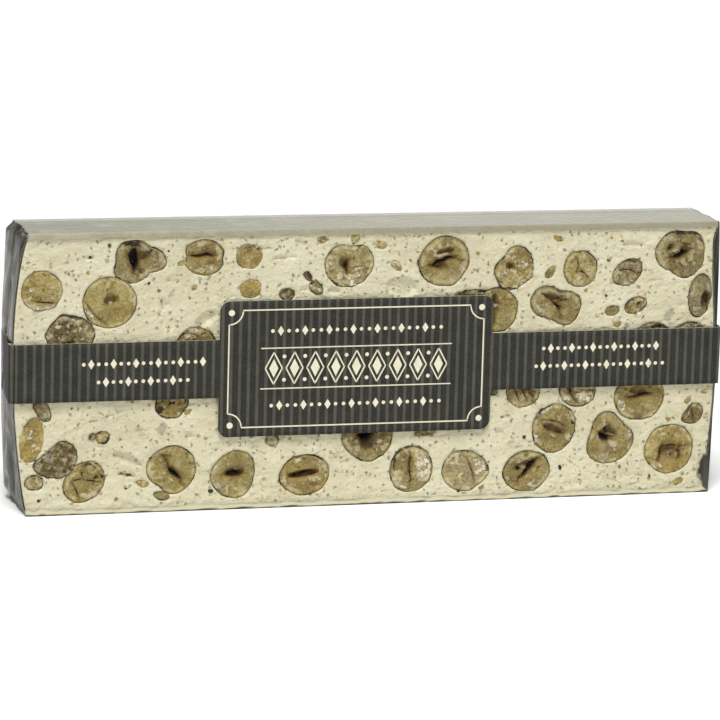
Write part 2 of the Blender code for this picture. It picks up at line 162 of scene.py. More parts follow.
def kernel_surface(nut):
    """Corners, faces and painted values of one kernel, in millimetres."""
    long = nut["size"][0]
    segments, rings = (SEGMENTS, RINGS) if long > 5.5 else (32, 9) if long > 1.9 else (16, 4)
    angle = np.arange(segments) * 2 * math.pi / segments
    edge = outline(nut, angle) - KERNEL_IN
    share = np.linspace(0, 1, rings + 1)[1:, None]
    u = np.append(0.0, (share * edge * np.cos(angle)).ravel())
    v = np.append(0.0, (share * edge * np.sin(angle)).ravel())
    rim = np.append(edge.mean(), ((1 - share) * edge + KERNEL_IN).ravel())
    wobble = smooth_noise(u, v, 0, 0.55, nut["seed"])
    ragged = smooth_noise(u, v, 0, 0.9, nut["seed"] + 5)
    hole = nearest_slit(u, v, nut["holes"]) + 0.10 * wobble
    crack = nearest_crack(u, v, nut["cracks"]) + 0.03 * wobble
    flake = nearest_oval(u, v, nut["flakes"]) + 0.55 * ragged + 0.4 * wobble
    crust = nearest_oval(u, v, nut["crusts"]) + 0.26 * ragged + 0.24 * wobble
    hollow = fade(-nearest_oval(u, v, nut["hollows"]) + 0.15 * wobble, -0.6, 0.7)
    lump = fade(-nearest_oval(u, v, nut["lumps"]) + 0.12 * wobble, -0.15, 0.25)
    crumbs = smooth_noise(u, v, 3, 0.7, nut["seed"]) + 0.6 * smooth_noise(u, v, 7, 0.35, nut["seed"])
    reach = nut["size"][1] / 2
    relief = 0.10 - 0.10 * (np.hypot(u, v) / reach) ** 2
    swell = smooth_noise(u, v, 1, 2.8, nut["seed"])
    relief += 0.22 * swell
    relief += (0.07 + 0.32 * nut["rough"]) * crumbs - 0.05
    fold = np.abs(smooth_noise(u, v, 11, 2.6, nut["seed"]))
    torn = smooth_noise(u, v, 13, 1.1, nut["seed"]) + 0.5 * smooth_noise(u, v, 15, 0.5, nut["seed"])
    torn = torn * fade(smooth_noise(u, v, 17, 3.4, nut["seed"]) + 0.9 * nut["rough"], 0.0, 0.5)
    folded = fade(nut["rough"], 0.16, 0.5) * fade(smooth_noise(u, v, 19, 3.0, nut["seed"]), -0.3, 0.3)
    relief -= 0.30 * folded * fade(fold, 0.16, 0.0)
    relief += 0.16 * torn
    # high: the ridges and folds of the relief, which the material paints lighter on ridges as painted
    # highlight and darker in folds as painted shade
    high = 0.9 * torn + 0.5 * swell - 1.1 * folded * fade(fold, 0.12, 0.0)
    relief -= 1.7 * hollow
    relief -= 2.8 * fade(-hole, -0.10, 0.45) + 0.85 * fade(-hole, -1.3, -0.05)
    relief -= 0.40 * fade(-crack, -0.30, -0.02)
    relief += 0.12 * fade(-flake, -0.05, 0.15) + 0.06 * fade(-flake, -0.1, 0.1) * crumbs
    relief += 0.55 * lump
    relief -= (0.20 + 0.16 * ragged) * min(long / 5, 1) * fade(-rim, -0.36, 0.0)
    relief = np.minimum(relief, 0.30)
    points = [np.stack([u, -relief, v], axis=1)]
    under = np.linspace(1, 0, RINGS_UNDER + 1)[1:-1, None]
    deep = min(reach * 0.85, 5.6)
    low = deep * (1 - under ** 2) ** 0.8
    points.append(np.stack([(under * edge * np.cos(angle)).ravel(),
                            np.broadcast_to(low + 0.4, (len(under), segments)).ravel(),
                            (under * edge * np.sin(angle)).ravel()], axis=1))
    points.append(np.array([[0.0, deep + 0.4, 0.0]]))
    points = np.concatenate(points)
    at = np.arange(segments)
    after = (at + 1) % segments
    faces = [(0, 1 + j, 1 + k) for j, k in zip(at, after)]
    for ring in range(rings + RINGS_UNDER - 2):
        inner, outer = 1 + ring * segments, 1 + (ring + 1) * segments
        faces += [(inner + j, outer + j, outer + k, inner + k) for j, k in zip(at, after)]
    last = len(points) - 1
    faces += [(last - segments + j, last, last - segments + k) for j, k in zip(at, after)]
    values = {"hole": hole, "crack": crack, "flake": flake, "crust": crust, "hollow": hollow,
              "lump": lump, "high": high, "rim": rim / max(nut["rim"], 0.05)}
    hidden = len(points) - len(u)
    values = {key: np.append(value, np.full(hidden, 9.0 if key != "rim" else 0.0))
              for key, value in values.items()}
    values["hollow"][-hidden:] = values["lump"][-hidden:] = values["high"][-hidden:] = 0.0
    values["tone"] = np.full(len(points), nut["tone"])
    values["light"] = np.full(len(points), nut["light"])
    values["rough"] = np.full(len(points), nut["rough"])
    spoke = np.arctan2(points[:, 2], points[:, 0])
    rays = np.stack([4 * np.cos(spoke), 4 * np.sin(spoke),
                     0.22 * np.hypot(points[:, 0], points[:, 2]) + nut["seed"]], axis=1)
    middle = FRONT_Y if nut["side"] < 0 else BACK_Y
    turned = points if nut["side"] < 0 else points * (-1, -1, 1)
    proud = PROUD if nut["size"][1] < POCKET_LEAST else 0.0
    return turned + (nut["at"][0], middle + nut["side"] * proud, nut["at"][1]), faces, values, rays


def mesh_object(name, points, faces):
    """A smooth mesh object from corners in millimetres."""
    mesh = bpy.data.meshes.new(name)
    mesh.from_pydata((points * MM).tolist(), [], faces)
    mesh.update()
    mesh.shade_smooth()
    made = bpy.data.objects.new(name, mesh)
    bpy.context.scene.collection.objects.link(made)
    return made


def paint(thing, name, values):
    """Keeps one number or one vector for each corner, for the material to read."""
    vector = values.ndim == 2
    kind, field = ("FLOAT_VECTOR", "vector") if vector else ("FLOAT", "value")
    store = thing.data.attributes.new(name, kind, "POINT")
    store.data.foreach_set(field, values.astype(np.float32).ravel())


def kernels_object(name, nuts):
    """Many kernels as one piece."""
    points, faces, values, rays, count = [], [], [], [], 0
    for nut in nuts:
        corners, own, painted, spokes = kernel_surface(nut)
        faces += [tuple(count + index for index in face) for face in own]
        points.append(corners)
        values.append(painted)
        rays.append(spokes)
        count += len(corners)
    made = mesh_object(name, np.concatenate(points), faces)
    for key in values[0]:
        paint(made, key, np.concatenate([painted[key] for painted in values]))
    paint(made, "rays", np.concatenate(rays))
    return made


def node_place(name):
    """Middle of a CAD node in x and z, in millimetres."""
    low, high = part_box(name)
    return (low.x + high.x) / 2 / MM, (low.z + high.z) / 2 / MM


def front(number, *facts, **marks):
    """A kernel of the front, in the place of its CAD node."""
    return kernel(node_place(f"hazelnut_front_{number:02d}"), *facts, **marks)


front_nuts = [
    front(1, (10.6, 10.2, 0), 0.85, 1.0, rim=0.4, rough=0.25, bulges=[(40, -0.03, 15)],
          cracks=[(-2.8, -2.4, 4.9, -3.1, -0.3)],
          flakes=[(0.4, -4.4, 6.5, 0.9, 4), (-2.4, 0.4, 1.2, 0.9, 30)]),
    front(2, (12.7, 11.4, 0), 0.35, 0.82,
          radii=[(0, 8.0), (30, 6.6), (47, 5.0), (74, 5.7), (102, 5.6), (125, 6.2), (147, 6.0),
                 (178, 5.2), (210, 6.5), (231, 5.8), (266, 5.5), (288, 5.0), (306, 4.7), (329, 4.4),
                 (338, 6.6), (350, 7.8)], rim=0.9, rough=0.35, holes=[(-0.4, 0.3, 6.4, 2.4, 84)],
          crusts=[(-1.2, 4.7, 5.4, 1.3, -8), (3.4, 2.6, 1.6, 1.0, 30)],
          hollows=[(1.8, 1.3, 2.6, 3.0, 60), (1.2, -2.6, 1.5, 1.5, 0)],
          cracks=[(-5.0, -4.2, -1.0, -4.9, -0.4)], flakes=[(-2.2, -5.2, 2.0, 0.8, -10)]),
    front(3, (13.9, 13.3, 0), 0.5, 1.0, rim=0.6, rough=0.12, cracks=[(-6.3, 0.4, -0.8, -5.4, -0.5)],
          hollows=[(0.4, 0.6, 3.4, 2.6, 20)], lumps=[(0.3, -0.1, 1.2, 0.9, 20)],
          flakes=[(-5.0, -2.6, 1.6, 2.6, 30), (3.8, 4.6, 3.0, 0.9, -35)]),
    front(4, (12.5, 11.0, 0), 0.3, 0.85,
          radii=[(0, 6.6), (30, 6.0), (60, 5.2), (90, 5.0), (110, 5.9), (135, 5.4), (180, 6.1),
                 (225, 5.9), (270, 5.4), (315, 6.0)], rim=0.9, rough=0.8,
          crusts=[(-0.4, 4.9, 5.4, 0.9, -4), (-4.6, 3.4, 2.2, 0.8, 45)],
          flakes=[(-2.4, 2.4, 1.6, 1.0, 20), (2.6, 1.6, 1.2, 1.2, 0)]),
    front(5, (11.0, 9.4, 0), 0.4, 0.96, rim=1.0, rough=0.3, bulges=[(178, -0.12, 12), (-5, -0.12, 12)],
          holes=[(-0.6, 0.5, 5.6, 0.42, -5)], flakes=[(0.8, -2.6, 3.0, 1.4, 10)]),
    front(6, (7.0, 6.6, 0), 0.95, 0.97, rim=0.3, rough=0.2, bulges=[(78, -0.16, 14)],
          crusts=[(0.5, 2.6, 2.2, 0.7, -8), (2.0, 2.0, 0.8, 0.5, 0)]),
    front(7, (10.6, 10.0, 0), 0.6, 0.95, rim=1.0, rough=0.5,
          cracks=[(-3.6, 3.2, 0.6, 2.6, 0.5), (0.6, 2.6, 3.0, 3.6, 0.2)],
          crusts=[(-3.8, 3.4, 1.2, 1.0, 30)], flakes=[(0.4, 3.8, 2.2, 1.0, 0)]),
    front(8, (13.2, 12.2, 0), 0.3, 1.08,
          radii=[(0, 6.6), (30, 6.4), (47, 6.4), (70, 5.2), (90, 4.6), (120, 6.0), (150, 6.4), (180, 6.5),
                 (240, 6.3), (270, 5.8), (330, 6.0)], rim=0.6, rough=0.4,
          holes=[(-0.5, -1.3, 4.8, 0.42, 80)], hollows=[(-1.4, 0.2, 2.0, 3.4, 20)],
          flakes=[(-4.3, -0.2, 3.6, 1.8, -48), (0.7, -3.9, 4.0, 3.6, 0), (0.3, 4.9, 6.4, 0.9, 0)],
          crusts=[(-3.6, -4.7, 2.2, 0.4, -38)]),
    front(9, (13.7, 13.2, 30), 0.5, 0.88, rim=1.0, rough=0.2, bulges=[(135, -0.05, 20), (215, 0.03, 14)],
          holes=[(-0.6, -0.2, 6.6, 0.9, 14), (-2.0, -0.7, 3.0, 0.9, 32)], lumps=[(-0.2, 1.5, 3.0, 0.7, 10)],
          hollows=[(-0.6, -1.6, 3.0, 2.0, 0), (0.2, 2.4, 4.4, 1.6, 10)],
          cracks=[(3.0, 0.6, 6.3, -0.2, -0.2)], flakes=[(5.0, -2.2, 1.6, 2.4, 20)]),
    front(10, (12.2, 10.4, 65), 0.6, 1.06,
          radii=[(0, 5.3), (34, 5.2), (52, 5.8), (78, 6.0), (105, 5.4), (112, 5.0), (135, 3.9),
                 (160, 4.7), (180, 5.4), (202, 5.6), (236, 6.0), (255, 6.3), (275, 5.8), (305, 5.1),
                 (330, 5.6)], rim=0.8, rough=0.45,
          crusts=[(-0.8, -5.3, 4.6, 0.5, 0), (3.6, 4.4, 1.8, 0.7, -60)], hollows=[(-1.0, 0.4, 2.0, 2.0, 0)],
          flakes=[(-2.6, -1.4, 1.6, 1.0, 20), (2.4, 0.6, 1.4, 2.0, 20)]),
    front(11, (9.6, 9.3, 80), 0.45, 1.0, rim=0.8, rough=0.12,
          cracks=[(-1.6, 3.2, -1.2, -1.0, 0.8), (-1.2, -1.0, 2.0, -2.4, 0.8)],
          flakes=[(1.1, -3.1, 1.1, 1.5, -10)]),
    front(12, (9.0, 6.7, 32), 0.3, 0.86, rim=1.0, rough=0.45, cracks=[(-2.3, 0.5, 2.6, -0.6, 0.7)],
          flakes=[(1.6, 1.4, 2.0, 0.8, 10)]),
    front(13, (14.0, 12.2, -15), 0.5, 0.80,
          radii=[(0, 6.9), (30, 7.2), (48, 7.5), (78, 6.1), (120, 6.7), (145, 6.6), (166, 7.0),
                 (187, 6.7), (209, 6.0), (239, 4.9), (266, 5.8), (288, 6.8), (313, 6.8), (336, 7.1)],
          rim=1.0, rough=0.4, holes=[(0.2, -0.1, 4.2, 1.2, 10)],
          hollows=[(2.0, 1.4, 3.0, 2.0, 10), (-2.6, 1.8, 2.0, 1.2, 60)],
          lumps=[(-1.4, 1.1, 1.6, 0.8, 20), (3.0, 1.9, 1.5, 0.8, 0)],
          crusts=[(0.2, 5.6, 8.4, 0.5, -3), (5.4, 3.8, 1.2, 0.5, -50)],
          flakes=[(-4.0, 1.0, 0.8, 0.7, 0), (2.2, -4.0, 2.0, 1.0, 30)]),
    front(14, (14.4, 11.4, -12), 0.5, 0.84,
          radii=[(7, 7.1), (22, 6.7), (39, 5.3), (72, 3.9), (104, 5.1), (119, 6.0), (143, 6.8),
                 (166, 7.1), (184, 6.7), (207, 5.6), (229, 4.1), (264, 4.0), (288, 5.5), (304, 6.7),
                 (320, 7.1), (342, 6.8)], rim=1.0, rough=0.3, holes=[(0.3, -0.1, 3.0, 0.55, -50)],
          cracks=[(-4.0, 3.8, -0.6, 0.9, -0.3), (0.9, -1.2, 1.4, -4.6, 0.3), (0.3, 0.3, 3.4, 1.2, 0.3)],
          crusts=[(1.3, 3.0, 3.2, 1.0, -30)], hollows=[(-0.6, 2.0, 4.6, 1.4, -15)],
          flakes=[(-3.2, -1.6, 4.6, 1.2, -30)]),
    front(15, (11.8, 11.2, 80), 0.75, 0.86, rim=0.8, rough=0.3, hollows=[(-0.8, 0.0, 8.0, 1.4, 88)],
          flakes=[(-0.6, 1.0, 0.8, 0.8, 0)]),
    front(16, (11.8, 6.8, 85), 0.2, 0.76, rim=1.0, rough=0.3, holes=[(1.9, -1.3, 2.6, 0.8, 88)],
          hollows=[(1.5, -1.4, 4.6, 1.8, 88)], flakes=[(-1.4, -3.6, 1.8, 1.0, -50)]),
    front(17, (10.4, 9.6, 0), 0.55, 0.8, rim=0.9, rough=0.5, crusts=[(0, 3.6, 4.0, 0.7, 0)]),
    front(18, (9.4, 9.2, 0), 0.4, 0.78, rim=1.0, rough=0.5, flakes=[(1.0, 3.4, 3.4, 0.8, 15)]),
    front(19, (8.9, 8.2, 20), 1.0, 0.86, rim=1.0, rough=0.55,
          crusts=[(-3.0, -1.8, 2.0, 1.6, 60), (3.5, 0.8, 2.4, 0.5, 80), (0, 0, 1.6, 0.4, 30)]),
    front(20, (12.0, 6.0, 80), 0.9, 1.16, rim=0.15, rough=0.15,
          flakes=[(-0.4, 1.6, 1.8, 1.0, 60), (0.6, -1.8, 2.0, 0.8, 70)]),
    front(21, (11.4, 9.0, 35), 0.75, 0.66,
          radii=[(0, 5.5), (27, 6.1), (52, 5.8), (77, 5.3), (90, 4.2), (110, 3.4), (142, 3.3), (169, 4.1),
                 (188, 6.1), (199, 6.1), (222, 5.4), (255, 4.6), (294, 4.9), (331, 5.0)], rim=0.8,
          rough=1.0, flakes=[(-2.4, 1.1, 1.3, 0.8, 40)], crusts=[(-1.6, 2.0, 2.0, 0.5, 45)]),
    front(22, (11.4, 9.8, 40), 0.45, 0.96, rim=0.9, rough=0.12,
          bulges=[(75, 0.05, 12), (140, -0.08, 14), (-60, -0.05, 14)],
          cracks=[(-3.2, 0.2, -0.4, 0.9, 0.1), (-0.4, 0.9, 4.6, 0.0, -0.2), (-0.7, 3.2, -0.4, 0.9, 0.1),
                  (1.9, 4.6, 4.9, 0.4, 0.3), (-3.2, 0.2, -1.2, -4.6, 0.3)],
          crusts=[(4.8, 1.2, 1.4, 0.5, -60), (0.8, 4.6, 1.6, 0.4, 20)], hollows=[(3.2, 1.2, 0.9, 0.8, 0)]),
    front(23, (12.9, 12.4, 0), 0.6, 0.93,
          radii=[(0, 6.6), (34, 6.8), (81, 6.7), (123, 6.3), (170, 6.6), (199, 6.0), (233, 4.8),
                 (262, 5.9), (280, 6.4), (306, 6.2), (341, 6.4)], rim=0.7, rough=0.12,
          holes=[(1.1, -0.9, 4.6, 0.75, -50)],
          cracks=[(-3.0, 5.0, -0.4, 1.0, 0.3), (2.5, -2.8, 3.4, -4.0, 0.0)],
          lumps=[(0.0, -2.2, 1.6, 0.6, -35)], crusts=[(4.6, 4.6, 1.8, 0.3, -45)],
          hollows=[(0.8, -0.4, 3.0, 1.6, -50)]),
    front(24, (12.2, 11.6, 80), 0.4, 0.98,
          radii=[(20, 5.8), (44, 6.3), (84, 6.2), (116, 5.5), (152, 5.6), (182, 6.3), (221, 6.3),
                 (260, 6.4), (291, 6.6), (316, 6.0), (344, 5.4)], rim=0.7, rough=0.2,
          holes=[(0.0, -0.2, 3.8, 0.8, -6)], hollows=[(0.2, 0.2, 4.6, 2.6, 0)],
          lumps=[(0.8, 0.9, 1.3, 0.5, -20), (-1.8, 0.2, 1.2, 0.4, 60)],
          flakes=[(-4.8, 2.2, 1.6, 1.2, 40), (-3.8, -3.2, 3.6, 1.2, -45)]),
    front(25, (13.4, 10.8, 4), 0.75, 1.05, rim=0.9, rough=0.25, holes=[(-0.4, 0.1, 7.2, 0.5, 4)],
          hollows=[(-0.2, 0.2, 7.0, 1.8, 4)],
          flakes=[(-5.2, -1.6, 1.4, 2.0, 30), (5.0, 2.8, 1.4, 2.0, -30)],
          crusts=[(3.0, 4.7, 2.6, 0.4, -20), (5.8, 1.2, 0.5, 1.4, 0), (-2.0, 4.6, 3.0, 0.3, 18)]),
    front(26, (13.6, 13.0, 0), 0.7, 0.82, rim=1.0, rough=0.4, bulges=[(-80, 0.05, 12)],
          holes=[(-0.2, 0.4, 4.4, 4.4, 0)], hollows=[(0.3, -1.6, 4.6, 4.2, 80)],
          flakes=[(2.4, -3.4, 1.0, 3.0, 20)]),
    front(27, (12.6, 11.6, 85), 0.35, 1.08, rim=0.9, rough=0.35,
          cracks=[(-0.6, 5.4, -0.3, 0.8, 0.2), (-0.3, 0.8, -0.5, -5.8, 0.3)],
          holes=[(-0.3, 0.6, 3.2, 0.3, 84)], flakes=[(3.2, 0.2, 3.6, 8.0, 0), (-2.4, -4.4, 3.4, 1.2, -20)],
          crusts=[(-4.6, 1.6, 0.4, 3.0, 0), (0.6, 5.8, 4.4, 0.3, 0)]),
    front(28, (12.6, 11.2, 0), 0.15, 1.10, rim=0.7, rough=0.3,
          bulges=[(0, 0.07, 20), (52, -0.06, 18), (-52, -0.06, 18)], cracks=[(0.2, 3.4, 2.6, -3.0, 0.3)],
          flakes=[(3.4, 1.2, 4.0, 4.4, 20)], crusts=[(6.0, 0.4, 0.6, 1.6, 0), (0.2, 5.0, 4.0, 0.3, 0)]),
    front(29, (12.9, 11.1, 8), 0.7, 0.86, rim=0.8, rough=0.3,
          holes=[(0.6, 0.6, 6.4, 1.3, 44), (-2.1, 0.6, 0.7, 0.7, 0)],
          cracks=[(-2.4, -3.4, -1.4, -1.4, 0.2)], hollows=[(-1.0, 1.8, 3.6, 1.4, 25)],
          lumps=[(-1.2, 1.3, 1.5, 0.6, 30), (2.2, 0.2, 1.4, 0.5, 60)],
          flakes=[(-5.0, -1.8, 1.8, 2.0, 30), (1.6, -3.4, 3.4, 2.0, 0), (4.8, 1.6, 0.7, 0.7, 0)]),
    front(30, (13.4, 11.6, 84), 0.65, 0.94,
          radii=[(18, 6.2), (51, 6.8), (85, 7.0), (116, 6.5), (146, 6.4), (182, 5.9), (216, 6.2),
                 (247, 6.1), (268, 6.3), (304, 5.8), (340, 5.5)], rim=0.8, rough=0.3,
          cracks=[(-3.9, 2.6, 3.7, 0.2, 0.8)], hollows=[(0.0, 0.0, 5.6, 2.0, -22)],
          lumps=[(-0.4, -1.4, 1.6, 0.5, -35)],
          flakes=[(-2.4, 5.0, 4.0, 0.9, 35), (-4.4, -2.6, 3.6, 1.0, -60)],
          crusts=[(-4.4, 3.6, 2.0, 0.5, 40), (4.4, 3.0, 2.6, 0.3, -60)]),
    front(31, (9.4, 8.8, 0), 0.65, 0.88, rim=0.7, rough=0.4,
          cracks=[(-2.6, 1.0, -1.0, -2.6, 0.0), (-0.6, 0.8, 1.4, -2.8, 0.0), (1.4, 0.4, 2.8, -1.8, 0.0)]),
    front(32, (10.0, 9.4, 0), 0.25, 1.08, rim=1.0, rough=0.4, holes=[(-1.7, -0.2, 2.0, 0.3, 88)],
          flakes=[(-2.8, -2.0, 3.0, 2.0, 20), (1.6, -2.0, 4.0, 2.6, -30)],
          crusts=[(4.2, -0.6, 0.8, 1.6, -20)], cracks=[(-1.7, -1.2, 0.2, -3.8, 0.0)]),
    front(33, (14.2, 12.4, 5), 0.75, 0.95, rim=0.7, rough=0.3, holes=[(0.0, 0.3, 6.4, 0.45, 4)],
          hollows=[(-0.3, 1.8, 4.6, 2.0, 0)],
          flakes=[(-4.6, -1.8, 2.4, 3.0, 30), (-2.2, -3.6, 2.0, 1.2, -30)],
          crusts=[(6.2, 0.6, 0.4, 1.6, 0)]),
    front(34, (14.0, 12.8, -66), 0.6, 0.86,
          radii=[(0, 6.7), (20, 5.9), (40, 5.0), (66, 5.3), (83, 6.7), (100, 7.2), (117, 7.2), (138, 6.5),
                 (160, 5.6), (180, 5.9), (196, 6.8), (215, 7.4), (233, 7.4), (260, 7.0), (288, 6.8),
                 (314, 6.6), (340, 6.7)], rim=0.7, rough=0.15,
          holes=[(-0.8, 2.0, 2.2, 0.9, 82), (-1.4, 0.0, 3.4, 1.3, -42)],
          lumps=[(0.8, -1.7, 2.2, 1.6, -20), (0.4, 0.5, 2.0, 0.5, -5)], hollows=[(-0.6, 0.6, 4.4, 4.0, 0)],
          flakes=[(5.2, 0.6, 4.6, 1.6, 80), (-1.7, -5.1, 1.8, 1.3, 0), (0.2, -2.6, 1.4, 1.2, 0)]),
    front(35, (13.6, 13.2, 0), 0.7, 1.02, rim=0.6, rough=0.2,
          holes=[(-2.1, -1.1, 4.2, 0.6, 70), (3.0, -1.0, 3.2, 0.4, 85), (0.2, 0.7, 3.4, 0.4, -5)],
          hollows=[(0.3, -1.0, 4.6, 3.4, 0)], cracks=[(3.1, 0.3, 6.3, 1.3, 0.2)],
          flakes=[(0.6, -1.4, 1.4, 1.0, 40), (-2.6, -4.2, 2.2, 1.0, -20)]),
    front(36, (7.0, 5.8, 20), 0.9, 0.72,
          radii=[(10, 3.3), (50, 3.4), (82, 2.9), (115, 2.4), (140, 1.9), (180, 2.4), (213, 3.5),
                 (250, 2.8), (278, 2.8), (320, 2.6), (345, 2.9)], rim=0.8, rough=0.2,
          flakes=[(-1.0, 0.1, 1.4, 0.8, 50)],
          cracks=[(-0.4, 2.2, -2.6, -1.6, 0.2), (-0.4, 2.2, 0.6, -2.2, 0.0)]),
    front(37, (12.0, 11.0, 20), 0.5, 0.9, holes=[(0, 0, 5.0, 0.8, 30)]),
    front(38, (12.6, 11.8, 70), 0.6, 0.9),
    front(39, (11.8, 11.0, 0), 0.5, 0.95, holes=[(0, 0, 6.0, 1.0, -40)]),
    front(40, (11.4, 10.4, 50), 0.7, 0.9),
]
hazelnuts_front = kernels_object("hazelnuts_front", front_nuts)
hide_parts(*(f"hazelnut_front_{number:02d}" for number in range(1, 41)))
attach(hazelnuts_front, "root")


# Pieces of hazelnut in the front
# Bits of broken kernels that the saw has met, too small to be whole nuts, and flush with the face
# like them.
front_pieces = [
    kernel((-33.6, 56.7), (5.6, 5.1, 0), 0.85, 1.15, rim=0.25, rough=0.2, bulges=[(130, -0.08, 18)]),
    kernel((-18.8, 59.6), (3.2, 2.0, -50), 0.2, 0.8, rim=0.8, rough=1.0,
           crusts=[(0.2, 0.4, 2.4, 0.9, -50)]),
    kernel((-16.6, 56.6), (4.4, 3.2, -40), 0.4, 0.95, rim=1.0, rough=0.8,
           crusts=[(-0.8, 1.0, 2.6, 0.8, -40)], flakes=[(0.4, -0.2, 1.6, 1.0, -20)]),
    kernel((-24.1, 55.0), (4.4, 3.4, 0), 0.5, 0.75, rim=1.0, rough=1.0, crusts=[(-0.6, 0.8, 2.0, 0.8, 30)]),
    kernel((62.3, 48.8), (4.2, 2.8, 10), 0.6, 0.72, rim=0.6, rough=0.05),
    kernel((68.6, 50.1), (6.4, 4.3, 25), 0.75, 0.95, rim=0.8, rough=0.8, crusts=[(0.8, 0.6, 1.6, 0.5, 30)]),
    kernel((-6.7, 69.3), (3.2, 2.6, 80), 0.85, 1.1, rim=0.1, rough=0.3),
    kernel((45.2, 59.2), (4.0, 2.2, 52), 0.6, 0.9, rim=0.4, rough=0.3, bulges=[(-60, 0.15, 20)]),
    kernel((-86.4, 27.2), (7.4, 3.8, -62), 0.3, 0.72, rim=1.0, rough=0.3,
           flakes=[(0.8, -2.2, 0.6, 0.4, 0)]),
    kernel((-70.9, 19.6), (3.9, 3.5, 0), 0.35, 1.16, rim=1.6, rough=0.2, crusts=[(1.6, -0.3, 0.7, 2.4, 0)]),
    kernel((-73.6, 20.0), (2.2, 1.8, 40), 0.2, 1.0, rim=1.6, rough=0.6,
           crusts=[(-0.4, -0.2, 1.2, 0.8, 40)]),
    kernel((-88.2, 8.5), (5.2, 4.2, 0), 0.25, 1.12, rim=1.0, rough=0.5, crusts=[(2.2, -0.6, 0.5, 1.4, 0)]),
    kernel((-55.6, 4.1), (4.7, 2.4, -12), 0.6, 0.78, rim=0.7, rough=0.3),
    kernel((-27.2, 17.6), (3.9, 3.2, 0), 0.4, 0.75, rim=0.8, rough=0.5),
    kernel((31.0, 28.4), (2.9, 2.1, 0), 0.6, 0.7, rim=0.9, rough=0.3),
    kernel((24.8, 54.2), (9.6, 2.2, 4), 0.65, 0.72, rim=0.8, rough=0.6, crusts=[(1.6, 0.4, 2.0, 0.4, 0)]),
    kernel((13.2, 18.4), (6.6, 2.0, 4), 0.6, 0.8, rim=0.8, rough=0.6),
]
hazelnut_pieces = kernels_object("hazelnut_pieces_front", front_pieces)
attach(hazelnut_pieces, "root")


# Crumbs and pin holes of the front
# Splinters of kernel and skin no bigger than a few millimetres, and holes left by air, dark inside.
# Those too small for a pocket in the nougat lie on its face.
# Middle x and z, long and short diameter, lean, tone, light
CRUMBS = [
    (-51.4, 63.6, 2.4, 1.5, 20, 0.95, 1.15), (-48.1, 57.2, 1.7, 1.4, 30, 0.95, 1.15),
    (4.3, 61.7, 3.2, 2.0, -50, 0.95, 1.15), (-0.2, 67.2, 4.4, 1.7, -8, 0.9, 1.12),
    (-57.1, 56.7, 1.5, 1.0, 20, 0.8, 0.65), (-70.5, 64.8, 1.2, 0.8, 60, 1.0, 0.95),
    (-75.2, 61.6, 1.4, 0.9, 10, 1.0, 1.1), (-42.9, 59.1, 1.8, 1.1, 30, 0.7, 0.6),
    (-15.5, 68.8, 3.2, 1.8, 0, 0.9, 1.1), (26.5, 56.3, 2.4, 0.9, 85, 0.8, 0.7),
    (54.9, 54.4, 1.4, 1.0, 20, 0.95, 1.1), (63.8, 45.3, 2.4, 1.6, 15, 0.85, 0.9),
    (82.7, 51.7, 1.7, 0.9, 80, 0.95, 0.7), (47.1, 67.8, 3.4, 1.3, -25, 0.95, 1.15),
    (-60.4, 7.3, 3.6, 1.9, -8, 0.9, 1.12), (-49.2, 25.5, 2.4, 1.5, 40, 0.85, 1.05),
    (84.0, 24.7, 2.4, 1.7, 40, 0.9, 1.1), (89.0, 20.5, 1.8, 1.2, 70, 0.9, 1.1),
    (88.6, 26.7, 2.0, 1.5, 20, 0.95, 1.1), (78.7, 20.0, 1.6, 1.1, 0, 0.9, 1.1),
    (82.2, 2.9, 3.4, 1.8, 20, 0.95, 1.1), (28.6, 3.4, 2.6, 1.2, 30, 0.95, 1.1),
    (19.4, 53.6, 1.6, 0.9, 10, 0.9, 0.8), (1.6, 22.0, 1.6, 1.0, 30, 0.9, 0.9),
    (-34.0, 52.6, 1.4, 1.0, 0, 0.9, 1.1), (36.6, 56.8, 1.6, 1.1, 60, 0.95, 1.1),
    (64.2, 67.0, 1.3, 0.8, 0, 0.95, 1.1),
]
# Middle x and z, long and short diameter, lean
PIN_HOLES = [
    (-74.5, 65.4, 1.9, 1.3, 5), (-54.9, 66.7, 0.9, 0.7, 0), (-59.7, 58.7, 1.7, 0.6, 50),
    (-64.8, 6.2, 2.1, 0.6, 5), (-87.2, 3.9, 1.2, 0.8, 0), (39.7, 16.2, 1.2, 0.9, 60),
    (49.7, 7.9, 1.4, 0.9, -70), (74.2, 4.7, 1.2, 0.6, -70), (-42.9, 4.9, 1.5, 1.0, 0),
    (-20.6, 29.0, 1.1, 0.8, 0), (33.5, 30.6, 1.4, 0.8, 0), (-38.2, 20.8, 0.8, 0.6, 20),
    (60.4, 52.8, 0.9, 0.6, 0), (78.6, 43.6, 1.0, 0.6, 60), (-70.0, 68.4, 0.7, 0.6, 0),
    (22.4, 2.6, 0.9, 0.7, 0),
]
SPECKS, SPECK_SEED = 150, 23
small_rng = random.Random(SPECK_SEED)
small_bits = [kernel((at_x, at_z), (long, short, lean), tone, light, rim=0.2, rough=0.3,
                     bulges=[(small_rng.uniform(0, 360), -0.25, 25), (small_rng.uniform(0, 360), 0.2, 20)])
              for at_x, at_z, long, short, lean, tone, light in CRUMBS]
for at_x, at_z, long, short, lean in PIN_HOLES:
    if short > 1:
        deep = {"holes": [(0, 0, long * 2.0, short * 2.2, lean)]}
    else:
        deep = {"crusts": [(0, 0, long * 2, short * 2, lean)]}
    small_bits.append(kernel((at_x, at_z), (long + 0.1, short + 0.1, lean), 0.9, 0.8, rim=0.1, **deep))
small_bits.append(kernel((-64.8, 9.8), (5.2, 1.3, -9), 0.8, 0.95, rim=0.4,
                         bulges=[(90, -0.3, 30), (-90, -0.3, 30)],
                         holes=[(0.2, 0.15, 3.4, 0.35, -8)]))
